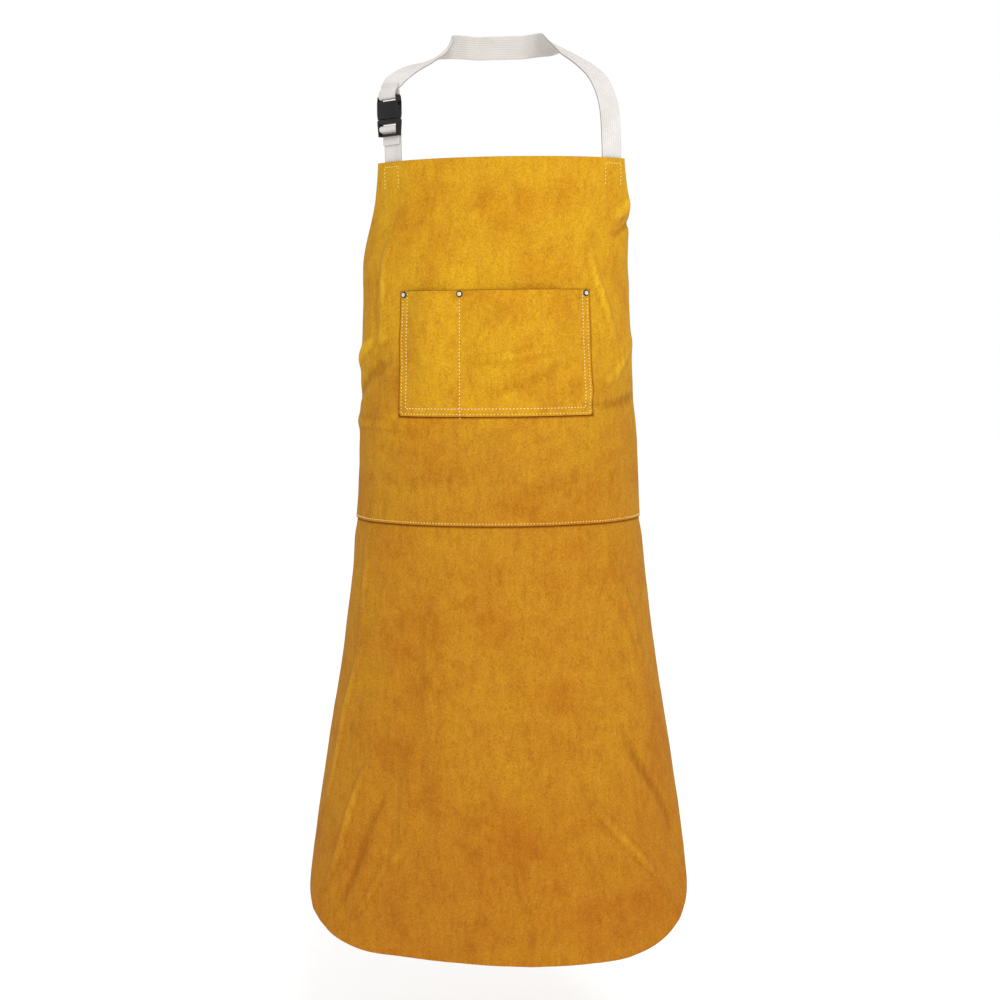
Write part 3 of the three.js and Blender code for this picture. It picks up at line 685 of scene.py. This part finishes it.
def makePocket():
    wide = pocket["wide"]
    tall = pocket["tall"]
    small = pocket["small"]
    hem = pocket["hem"]
    shares = spread([0, hem, small - hem / 2, small + hem / 2, wide - hem, wide], [12, 24, 8, 62, 12])
    downs = spread([0, 0.004, tall - hem, tall], [4, 60, 14])

    def place(share, down):
        # the bottom corners are slightly eased
        eased = share
        at = pocket["down"] + down
        corner = 0.004
        dx = max(corner - share, share - (wide - corner), 0)
        dz = max(down - (tall - corner), 0)
        past = math.hypot(dx, dz)
        if dx > 0 and dz > 0 and past > corner:
            eased += (1 if share < wide / 2 else -1) * dx * (1 - corner / past)
            at -= dz * (1 - corner / past)
        across = pocketAcross(eased, at)
        rim = pocket["roll"] * math.exp(-(down / 0.006) ** 2) * math.sin(math.pi * share / wide)
        return across, at, hang(across, at, pocketOut(across, at) + rim)

    piece = gridSheet("pocketPanel", shares, downs, place, leather["thick"], pocketSuede, cutEdge)
    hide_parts("pocket_panel")
    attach(piece, "root")


makePocket()
print("pocket made")


stitch = {"pitch": 0.0045, "long": 0.0022, "wide": 0.0016, "high": 0.0010, "sides": 6, "rings": 4}


def addStitch(bm, start, end, out):
    # one thread loop, sunk into the leather at both ends
    along = end - start
    side = along.cross(out).normalized()
    middle = (start + end) / 2
    made = bmesh.ops.create_uvsphere(bm, u_segments=stitch["sides"], v_segments=stitch["rings"], radius=1)
    for vert in made["verts"]:
        x, y, z = vert.co
        rise = stitch["high"] * (y - 0.45 * z * z)
        vert.co = middle + side * (x * stitch["wide"] / 2) + out * rise + along * (z * 0.5)


def between(a, b, share):
    return a[0] + (b[0] - a[0]) * share, a[1] + (b[1] - a[1]) * share


def sewRows(name, rows, surface, nodes, backSurface=None, thread=creamThread):
    # rows of (across, down) corner points; surface(across, down, out) gives the point
    bm = bmesh.new()
    rand = random.Random(name)
    for row in rows:
        for (a, b) in zip(row, row[1:]):
            length = math.dist(a, b)
            count = max(round(length / stitch["pitch"]), 1)
            fill = stitch["long"] / stitch["pitch"]
            for i in range(count):
                jitter = rand.uniform(-0.00012, 0.00012)
                f = (i + 0.5 - fill / 2) / count
                g = (i + 0.5 + fill / 2) / count
                for side in (surface, backSurface):
                    if side is None:
                        continue
                    across, down = between(a, b, f)
                    start = side(across, down + jitter, 0)
                    across, down = between(a, b, g)
                    end = side(across, down - jitter, 0)
                    above = side(*between(a, b, (f + g) / 2), 0.001)
                    addStitch(bm, start, end, (above - (start + end) / 2).normalized())
    piece = finishMesh(name, bm)
    piece.data.materials.append(thread)
    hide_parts(*nodes)
    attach(piece, "root")


halfThick = leather["thick"] / 2


def onPocket(across, down, out):
    return hang(across, down, pocketOut(across, down) + halfThick + out)


def onBib(across, down, out):
    return hang(across, down, bibOut(across, down) + seamPull(down) + halfThick + out)


def pastPocket(across, down, out):
    if down < pocketBottom - 0.0005:
        return onPocket(across, down, out)
    return onBib(across, down, out)


def behindBib(across, down, out):
    return hang(across, down, bibOut(across, down) + seamPull(down) - halfThick - out)


def behindSkirt(across, down, out):
    return hang(across, down, skirtOut(across, down) + seamPull(down) - halfThick - out)


def pocketRow(inset, top):
    base = pocketBottom - inset
    left = inset
    right = pocket["wide"] - inset
    corners = [(left, top), (left, base), (right, base), (right, top)]
    return [(pocketAcross(share, down), down) for share, down in corners]


def makeSewing():
    belowRivet = pocket["down"] + 0.0105
    outer = pocketRow(pocket["outerRow"], belowRivet)
    sewRows("pocketOuterStitches", [outer], onPocket, ["pocket_outer_stitch"], behindBib, goldThread)
    inner = pocketRow(pocket["innerRow"], pocket["down"] + 0.002)
    sewRows("pocketInnerStitches", [inner], onPocket, ["pocket_inner_stitch"], behindBib)
    end = pocketBottom + 0.0045        # the divider runs a little past the pocket
    middle = [(pocketAcross(pocket["small"], down), down) for down in (belowRivet, end)]
    sewRows("pocketDividerStitches", [middle], pastPocket, ["pocket_divider_stitch"], behindBib)
    line = leather["bibEnd"] - seamInset
    reach = leather["halfWidth"] - 0.003
    bends = [(-reach + 2 * reach * i / 24, line) for i in range(25)]
    sewRows("waistSeamStitches", [bends], onBib, ["waist_seam_stitch"], behindSkirt, goldThread)


makeSewing()
print("sewing made")


rivet = {"inset": 0.0045, "cap": 0.0043, "high": 0.0022, "back": 0.0041}


def turned(name, profile, axisPoint, axis, paintedHighlightRadius):
    # a turned piece: profile is a list of (radius, height) from the axis out; its top inside the given
    # radius takes the pale nickel as painted highlight, the rest the dark nickel as painted shade
    bm = bmesh.new()
    verts = [bm.verts.new((radius, 0, height)) for radius, height in profile]
    edges = [bm.edges.new(pair) for pair in zip(verts, verts[1:])]
    bmesh.ops.spin(bm, geom=verts + edges, cent=(0, 0, 0), axis=(0, 0, 1), angle=math.tau, steps=32,
                   use_merge=True)
    bmesh.ops.remove_doubles(bm, verts=bm.verts, dist=1e-6)
    bmesh.ops.recalc_face_normals(bm, faces=bm.faces)
    for face in bm.faces:
        middle = face.calc_center_median()
        face.material_index = 1 if math.hypot(middle.x, middle.y) < paintedHighlightRadius and middle.z > 0.0003 else 0
    turn = Vector((0, 0, 1)).rotation_difference(axis).to_matrix().to_4x4()
    bmesh.ops.transform(bm, matrix=Matrix.Translation(axisPoint) @ turn, verts=bm.verts)
    piece = finishMesh(name, bm)
    piece.data.materials.append(nickelPaintedShade)
    piece.data.materials.append(nickelPaintedHighlight)
    return piece


def makeRivets():
    down = pocket["down"] + rivet["inset"]
    places = {
        "left": pocketAcross(rivet["inset"], down),
        "middle": pocketAcross(pocket["small"], down),
        "right": pocketAcross(pocket["wide"] - rivet["inset"], down),
    }
    r = rivet["cap"]
    h = rivet["high"]
    cap = [(0, -0.0005), (r * 0.9, -0.0004), (r, 0.0001), (r, 0.0004), (r * 0.93, 0.0009),
           (r * 0.8, h * 0.68), (r * 0.6, h * 0.88), (r * 0.32, h * 0.98), (0, h)]
    b = rivet["back"]
    washer = [(0, -0.0003), (b * 0.92, -0.0003), (b, 0.0002), (b * 0.95, 0.0008), (b * 0.62, 0.0011),
              (b * 0.45, 0.0008), (b * 0.42, 0.0014), (b * 0.25, 0.0017), (0, 0.0017)]
    for side, across in places.items():
        base = onPocket(across, down, 0)
        out = (onPocket(across, down, 0.001) - base).normalized()
        front = turned("rivetCap_" + side, cap, base, out, r * 0.5)
        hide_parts("pocket_rivet_" + side)
        rear = turned("rivetBack_" + side, washer, behindBib(across, down, 0), -out, b)
        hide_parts("pocket_rivet_back_" + side)
        for piece in (front, rear):
            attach(piece, "root")


makeRivets()
print("rivets made")


web = {"wide": 0.032, "thick": 0.0018, "sewn": 0.042}
buckle = {
    "socketLong": 0.031,
    "bar": 0.003,
    "slot": 0.005,
    "gap": 0.0003,
    "fold": 0.014,
    "tail": 0.022,
    "collar": 0.006,      # the plug's solid part above its slots
    "hingeUp": 0.002,     # from the buckle's own middle to the prongs' hinges
}


def centripetal(points, steps):
    # a smooth line through the points, evenly paced by the root of their distance
    ext = [points[0] * 2 - points[1], *points, points[-1] * 2 - points[-2]]
    line = []
    for i in range(1, len(ext) - 2):
        p0, p1, p2, p3 = ext[i - 1:i + 3]
        t = [0.0]
        for a, b in ((p0, p1), (p1, p2), (p2, p3)):
            t.append(t[-1] + max((b - a).length, 1e-6) ** 0.5)
        for k in range(steps):
            u = t[1] + (t[2] - t[1]) * k / steps
            a1 = p0 * ((t[1] - u) / (t[1] - t[0])) + p1 * ((u - t[0]) / (t[1] - t[0]))
            a2 = p1 * ((t[2] - u) / (t[2] - t[1])) + p2 * ((u - t[1]) / (t[2] - t[1]))
            a3 = p2 * ((t[3] - u) / (t[3] - t[2])) + p3 * ((u - t[2]) / (t[3] - t[2]))
            b1 = a1 * ((t[2] - u) / (t[2] - t[0])) + a2 * ((u - t[0]) / (t[2] - t[0]))
            b2 = a2 * ((t[3] - u) / (t[3] - t[1])) + a3 * ((u - t[1]) / (t[3] - t[1]))
            at = b1 * ((t[2] - u) / (t[2] - t[1])) + b2 * ((u - t[1]) / (t[2] - t[1]))
            line.append((at, i - 1 + k / steps))
    line.append((points[-1], len(points) - 1.0))
    return line


def ribbon(name, stops, steps, body, nodes):
    # a woven strap through stops of (point, outward); a piece without a body is given its own later
    points = [Vector(stop[0]) for stop in stops]
    outs = [Vector(stop[1]).normalized() for stop in stops]
    line = centripetal(points, steps)
    count = len(line)
    columns = 10
    run = [0.0]
    for (a, _), (b, _) in zip(line, line[1:]):
        run.append(run[-1] + (b - a).length)
    frames = []
    for k, (at, f) in enumerate(line):
        before = line[max(k - 1, 0)][0]
        after = line[min(k + 1, count - 1)][0]
        along = (after - before).normalized()
        i = min(int(f), len(outs) - 2)
        out = outs[i].lerp(outs[i + 1], f - i)
        out = (out - along * out.dot(along)).normalized()
        frames.append((at, along.cross(out).normalized(), out))
    bm = bmesh.new()
    bmesh.ops.create_grid(bm, x_segments=columns, y_segments=count - 1, size=1)
    uvLayer = bm.loops.layers.uv.new("cloth")
    flat = {}
    for vert in bm.verts:
        i = round((vert.co.x + 1) / 2 * columns)
        j = round((1 - vert.co.y) / 2 * (count - 1))
        at, side, out = frames[j]
        share = 2 * i / columns - 1
        bow = -0.0002 * share * share
        wander = 0.00014 * math.sin(run[j] * 70 + i * 0.5)
        vert.co = at - side * (share * web["wide"] / 2) + out * (bow + wander)
        flat[vert] = (share * web["wide"] / 2, run[j])
    for face in bm.faces:
        for loop in face.loops:
            loop[uvLayer].uv = flat[loop.vert]
    piece = finishMesh(name, bm)
    piece.data.materials.append(webFinish)
    shell = piece.modifiers.new("thickness", "SOLIDIFY")
    shell.thickness = web["thick"]
    shell.offset = 0
    rounder = piece.modifiers.new("roundEdge", "BEVEL")
    rounder.width = 0.0006
    rounder.segments = 2
    rounder.limit_method = "ANGLE"
    rounder.angle_limit = math.radians(50)
    applyModifiers(piece)
    piece.data.polygons.foreach_set("use_smooth", [True] * len(piece.data.polygons))
    if nodes:
        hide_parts(*nodes)
    if body:
        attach(piece, body)
    print(name, "is", round(run[-1], 3), "m long")


def bendPoints(along, radius, start, end, steps):
    points = []
    for i in range(steps + 1):
        angle = math.radians(start + (end - start) * i / steps)
        points.append((along + radius * math.sin(angle), radius * math.cos(angle)))
    return points


# a buckle's own frame: X across the strap, Y along it towards the socket half, Z out from the wearer
def buckleFrame(origin, alongAxis, outAxis):
    acrossAxis = alongAxis.cross(outAxis)
    matrix = Matrix((acrossAxis, alongAxis, outAxis)).transposed().to_4x4()
    return Matrix.Translation(origin) @ matrix


def jointOf(name):
    return next(j for j in frame["joints"] if j["name"] == name)


def frameFromJoints(slide, left, right):
    # the slide gives the strap's line, and the two squeeze pins lie either side of it
    along = -Vector(jointOf(slide)["axis"])
    out = Vector(jointOf(right)["axis"])
    middle = (Vector(jointOf(left)["pos_m"]) + Vector(jointOf(right)["pos_m"])) / 2
    return buckleFrame(middle - along * buckle["hingeUp"], along, out)


neckFrame = frameFromJoints("neck_buckle_slide", "neck_prong_left_squeeze", "neck_prong_right_squeeze")
waistFrame = frameFromJoints("waist_buckle_slide", "waist_prong_left_squeeze", "waist_prong_right_squeeze")
barRound = buckle["bar"] / 2 * math.sqrt(2) + buckle["gap"] + web["thick"] / 2
socketBar = buckle["socketLong"] - buckle["bar"] / 2
foldTop = socketBar + buckle["fold"]
ladderBarTop = -buckle["collar"] - buckle["slot"]
ladderBarLow = ladderBarTop - buckle["bar"]
ladderSlotLow = ladderBarLow - buckle["slot"]
ladderBar = (ladderBarTop + ladderBarLow) / 2
ladderLoad = barRound + web["thick"] + buckle["gap"]


def inFrame(matrix, along, out):
    return matrix @ Vector((0, along, out))


def profileStops(matrix, profile, flip=1):
    # webbing seen edge on, as (along, out) points, with the side that faces out of the bend
    stops = []
    across = matrix.to_3x3() @ Vector((flip, 0, 0))
    last = len(profile) - 1
    for i, (along, out) in enumerate(profile):
        a = profile[max(i - 1, 0)]
        b = profile[min(i + 1, last)]
        tangent = (matrix.to_3x3() @ Vector((0, b[0] - a[0], b[1] - a[1]))).normalized()
        stops.append((inFrame(matrix, along, out), across.cross(tangent)))
    return stops


def socketFoldProfile():
    # up behind the bar, round under it, and its end laid on the strap's outer side
    loop = bendPoints(socketBar, barRound, 180, 360, 8)
    over = -barRound + web["thick"] + 0.0001
    return [(foldTop, -barRound), (socketBar + 0.004, -barRound), *loop,
            (socketBar + 0.006, barRound * 0.62), (foldTop - 0.003, over), (foldTop + 0.002, over)]


def ladderProfile(loadEnd, tail):
    loop = bendPoints(ladderBar, barRound, 180, -90, 12)
    end = ladderSlotLow - buckle["bar"] - tail
    return [(loadEnd, -ladderLoad), (ladderBar - barRound - 0.0007, -ladderLoad), *loop,
            (ladderSlotLow, -barRound), (ladderSlotLow - 0.008, -barRound), (end, -barRound)]


def fallAway(across, down, beside, below=0.0):
    # how far the leather curves back from flat, that far to either side or above and below
    middle = hang(across, down)
    out = hang(across, down, 0.001) - middle
    falls = [0]
    for sign in (-1, 1):
        edge = hang(across + sign * beside, down + sign * below)
        falls.append(-(edge - middle).dot(out) * 1000)
    return max(falls)


neck = {
    "left": -0.152,
    "right": 0.161,
    "buckleUp": 0.055,
    "napeUp": 0.170,
    "napeFlat": 0.032,
    "beside": 0.066,
    "tail": 0.011,
    "travel": 0.022,
}
neckRunStart = -neck["buckleUp"] - 0.003     # the straight run starts just below the bib's top
loopStart = ladderSlotLow - 0.007            # the strap round the ladder bar rides on the plug from here


def straightStops(matrix, start, end, outward):
    return [(inFrame(matrix, start + (end - start) * i / 6, -ladderLoad), outward) for i in range(7)]


def makeNeckStraps():
    outLeft = neckFrame.to_3x3() @ Vector((0, 0, 1))
    low = -neck["buckleUp"] - web["sewn"]
    loop = profileStops(neckFrame, ladderProfile(loopStart, neck["tail"]))
    ribbon("neckStrapLoop", loop, 5, "neck_plug", None)
    run = straightStops(neckFrame, neckRunStart, loopStart, outLeft)
    ribbon("neckStrapShort", run, 3, None, ["neck_strap_short"])
    sewn = straightStops(neckFrame, low, neckRunStart, outLeft)
    ribbon("neckStrapSewn", sewn, 3, "root", ["neck_strap_short"])

    rightAt = hang(neck["right"], 0)
    right = (hang(neck["right"], 0, 0.001) - rightAt).normalized()
    fall = fallAway(neck["right"], 0, web["wide"] / 2)
    behind = -(halfThick + leather["backGap"] + web["thick"] / 2 + fall)

    def rightPoint(up):
        return rightAt + right * behind + Vector((0, 0, up))

    def worn(x, y, z, out):
        return (Vector((x, y - napeBack, z - neck["napeUp"])), out)

    def beside(side):
        # round the side of the neck, from in front
        wide = neck["beside"]
        return [
            worn(side * wide, 0.051, neck["napeUp"] - 0.004, (side * 0.85, 0.3, 0.35)),
            worn(side * (wide - 0.012), 0.077, neck["napeUp"], (side * 0.72, 0.68, 0.1)),
        ]

    stops = profileStops(neckFrame, socketFoldProfile()[::-1])
    stops += [
        worn(-0.121, -0.070, 0.108, (-0.52, -0.78, 0.33)),
        worn(-0.107, -0.060, 0.120, (-0.42, -0.7, 0.56)),
        worn(-0.090, -0.042, 0.131, (-0.32, -0.52, 0.79)),
        worn(-0.077, -0.015, 0.142, (-0.35, -0.2, 0.91)),
        worn(-0.069, 0.018, 0.156, (-0.62, 0, 0.78)),
    ]
    stops += beside(-1)
    stops += [((share * neck["napeFlat"], web["thick"] / 2, 0), (0, 1, 0)) for share in (-1, -0.5, 0.5, 1)]
    stops += beside(1)[::-1]
    stops += [
        worn(0.084, 0.024, 0.160, (0.5, -0.1, 0.86)),
        worn(0.104, 0.0, 0.143, (0.32, -0.28, 0.9)),
        worn(0.126, -0.024, 0.125, (0.36, -0.42, 0.83)),
        worn(0.144, -0.046, 0.104, (0.5, -0.62, 0.6)),
        worn(0.1565, -0.0615, 0.070, (0.64, -0.74, 0.18)),
        (rightPoint(0.020), right),
        (rightPoint(-web["sewn"] / 3), right),
        (rightPoint(-web["sewn"]), right),
    ]
    ribbon("neckStrapLong", stops, 6, "root", ["neck_strap_long"])


waist = {"down": 0.300, "flat": 0.064, "travel": 0.030}
waistRunStart = 0.002 - waist["flat"]


def waistStops(side, back):
    insets = [web["sewn"] * (1 - i / 4) for i in range(5)]
    falls = [fallAway(leather["halfWidth"] - inset, waist["down"], 0, web["wide"] / 2) for inset in insets]
    behind = -(halfThick + leather["backGap"] + web["thick"] / 2 + max(falls))
    stops = []
    for inset in insets:
        across = side * (leather["halfWidth"] - inset)
        at = hang(across, waist["down"], behind)
        stops.append((at, (hang(across, waist["down"], behind + 0.001) - at).normalized()))
    edge, edgeOut = stops[-1]
    leaving = Vector((0, 0, 1)).cross(edgeOut) * side
    reach = (back - edge).length * 0.4
    handle = edge + leaving * reach
    landing = back + Vector((side * reach, 0, 0))
    for i in range(1, 9):
        f = i / 8
        e = 1 - f
        at = edge * e ** 3 + handle * 3 * f * e ** 2 + landing * 3 * f * f * e + back * f ** 3
        along = (handle - edge) * e ** 2 + (landing - handle) * 2 * f * e + (back - landing) * f * f
        stops.append((at, (Vector((along.y, -along.x, 0)) * side).normalized()))
    return stops


def makeWaistStraps():
    outward = Vector((0, 1, 0))
    leftEnd = inFrame(waistFrame, foldTop, -barRound)
    leftFlat = Vector((-waist["flat"], leftEnd.y, leftEnd.z))
    stops = waistStops(-1, leftFlat) + profileStops(waistFrame, socketFoldProfile(), -1)
    ribbon("waistStrapLeft", stops, 6, "root", ["waist_strap_left"])

    rightEnd = inFrame(waistFrame, waistRunStart, -ladderLoad)
    rightFlat = Vector((waist["flat"], rightEnd.y, rightEnd.z))
    stops = [*waistStops(1, rightFlat), (rightEnd, outward)]
    ribbon("waistStrapRight", stops, 8, "root", ["waist_strap_right"])
    run = straightStops(waistFrame, waistRunStart, loopStart, outward)
    ribbon("waistStrapEnd", run, 3, None, ["waist_strap_right"])
    loop = profileStops(waistFrame, ladderProfile(loopStart, buckle["tail"]))
    ribbon("waistStrapLoop", loop, 5, "waist_plug", None)


makeNeckStraps()
makeWaistStraps()
print("straps made")


strapRow = {"aside": 0.003, "end": 0.006, "cutEdge": 0.007}      # in from the strap's sides and ends


def makeStrapSewing():
    edge = web["wide"] / 2 - strapRow["aside"]
    low = web["sewn"] - strapRow["end"]
    high = strapRow["cutEdge"]
    for name, side in (("left", -1), ("right", 1)):
        mid = neck[name]
        box = [(mid - edge, low), (mid - edge, high), (mid + edge, high), (mid + edge, low)]
        sewRows("neckStrapStitches_" + name, [box], onBib, ["neck_strap_stitch_" + name], None, goldThread)
        outer = side * (leather["halfWidth"] - high)
        inner = side * (leather["halfWidth"] - low)
        top = waist["down"] - edge
        bottom = waist["down"] + edge
        box = [(inner, top), (outer, top), (outer, bottom), (inner, bottom), (inner, top)]
        diagonal = [(inner, top), (outer, bottom)]
        other = [(inner, bottom), (outer, top)]
        node = "waist_strap_stitch_" + name
        sewRows("waistStrapStitches_" + name, [box, diagonal, other], onBib, [node], None, goldThread)


makeStrapSewing()
print("strap sewing made")


def softenedCopy(name, node, width):
    # the CAD node's shape with its edges eased, as moulded plastic has them
    bm = bmesh.new()
    bm.from_mesh(frame["nodes"][node].data)
    bmesh.ops.remove_doubles(bm, verts=bm.verts, dist=1e-6)
    bmesh.ops.dissolve_limit(bm, angle_limit=math.radians(2), verts=bm.verts, edges=bm.edges)
    piece = finishMesh(name, bm)
    piece.data.materials.clear()
    piece.data.materials.append(plasticFinish)
    ease = piece.modifiers.new("ease", "BEVEL")
    ease.width = width
    ease.segments = 3
    ease.limit_method = "ANGLE"
    ease.angle_limit = math.radians(28)
    ease.harden_normals = True
    applyModifiers(piece)
    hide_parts(node)
    return piece


def makeBuckle(where):
    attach(softenedCopy(where + "Socket", where + "_buckle_socket", 0.0006), "root")
    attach(softenedCopy(where + "Plug", where + "_buckle_plug", 0.0005), where + "_plug")
    for side in ("left", "right"):
        prong = softenedCopy(where + "Prong_" + side, where + "_prong_" + side, 0.0004)
        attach(prong, where + "_prong_" + side)


makeBuckle("neck")
makeBuckle("waist")
print("buckles made")


def shorten(pieceName):
    # gives the straight run its own mesh and hangs it on the root body
    piece = bpy.data.objects[pieceName]
    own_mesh(piece)
    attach(piece, "root")


shorten("neckStrapShort")
shorten("waistStrapEnd")


room = {"floor": -1.46, "size": 14.0, "white": (0.93, 0.93, 0.925)}


def makeRoom():
    bm = bmesh.new()
    bmesh.ops.create_grid(bm, x_segments=1, y_segments=1, size=room["size"])
    bmesh.ops.translate(bm, verts=bm.verts, vec=(0, 0, room["floor"]))
    floor = finishMesh("floor", bm)
    n = Nodes("paleFloor")
    place = n.tree.nodes.new("ShaderNodeTexCoord")
    grain = n.noise(place, "Object", 30.0)
    tone = n.ramp(grain, "Fac", [(0.3, (0.91, 0.91, 0.905)), (0.7, room["white"])])
    n.link(tone, "Color", n.shader, "Base Color")
    n.set(Roughness=0.9, Specular_IOR_Level=0.1, Emission_Color=(1, 1, 1, 1), Emission_Strength=0.09)
    floor.data.materials.append(n.material)
    world = bpy.data.worlds.new("studio")
    bpy.context.scene.world = world
    world.use_nodes = True
    world.node_tree.nodes["Background"].inputs["Color"].default_value = (1, 1, 1, 1)
    world.node_tree.nodes["Background"].inputs["Strength"].default_value = 1.0


def areaLight(name, place, target, size, power):
    data = bpy.data.lights.new(name, "AREA")
    data.shape = "RECTANGLE"
    data.size, data.size_y = size
    data.energy = power
    light = bpy.data.objects.new(name, data)
    bpy.context.scene.collection.objects.link(light)
    light.location = place
    aim = Vector(target) - Vector(place)
    light.rotation_euler = aim.to_track_quat("-Z", "Y").to_euler()


view = {"place": (0.235, -2.377, -0.385), "turn": 0.1015, "tilt": 0.1051, "roll": 0.0105, "lens": 59.97}


def makeCamera():
    data = bpy.data.cameras.new("camera")
    data.sensor_width = 36
    data.lens = view["lens"]
    data.clip_end = 60
    camera = bpy.data.objects.new("camera", data)
    bpy.context.scene.collection.objects.link(camera)
    camera.location = view["place"]
    forward = Vector((
        -math.sin(view["turn"]) * math.cos(view["tilt"]),
        math.cos(view["turn"]) * math.cos(view["tilt"]),
        -math.sin(view["tilt"]),
    ))
    look = forward.to_track_quat("-Z", "Y")
    camera.rotation_euler = (look @ Quaternion((0, 0, 1), -view["roll"])).to_euler()
    bpy.context.scene.camera = camera


makeRoom()
areaLight("keyLight", (0.9, -2.6, 1.3), (0, -0.2, -0.6), (1.2, 1.2), 50)
areaLight("lowLight", (0.9, -2.6, -0.7), (0, -0.2, -0.9), (1.2, 1.0), 12)
makeCamera()
bpy.context.scene.view_settings.view_transform = "Standard"
print("room and camera made")
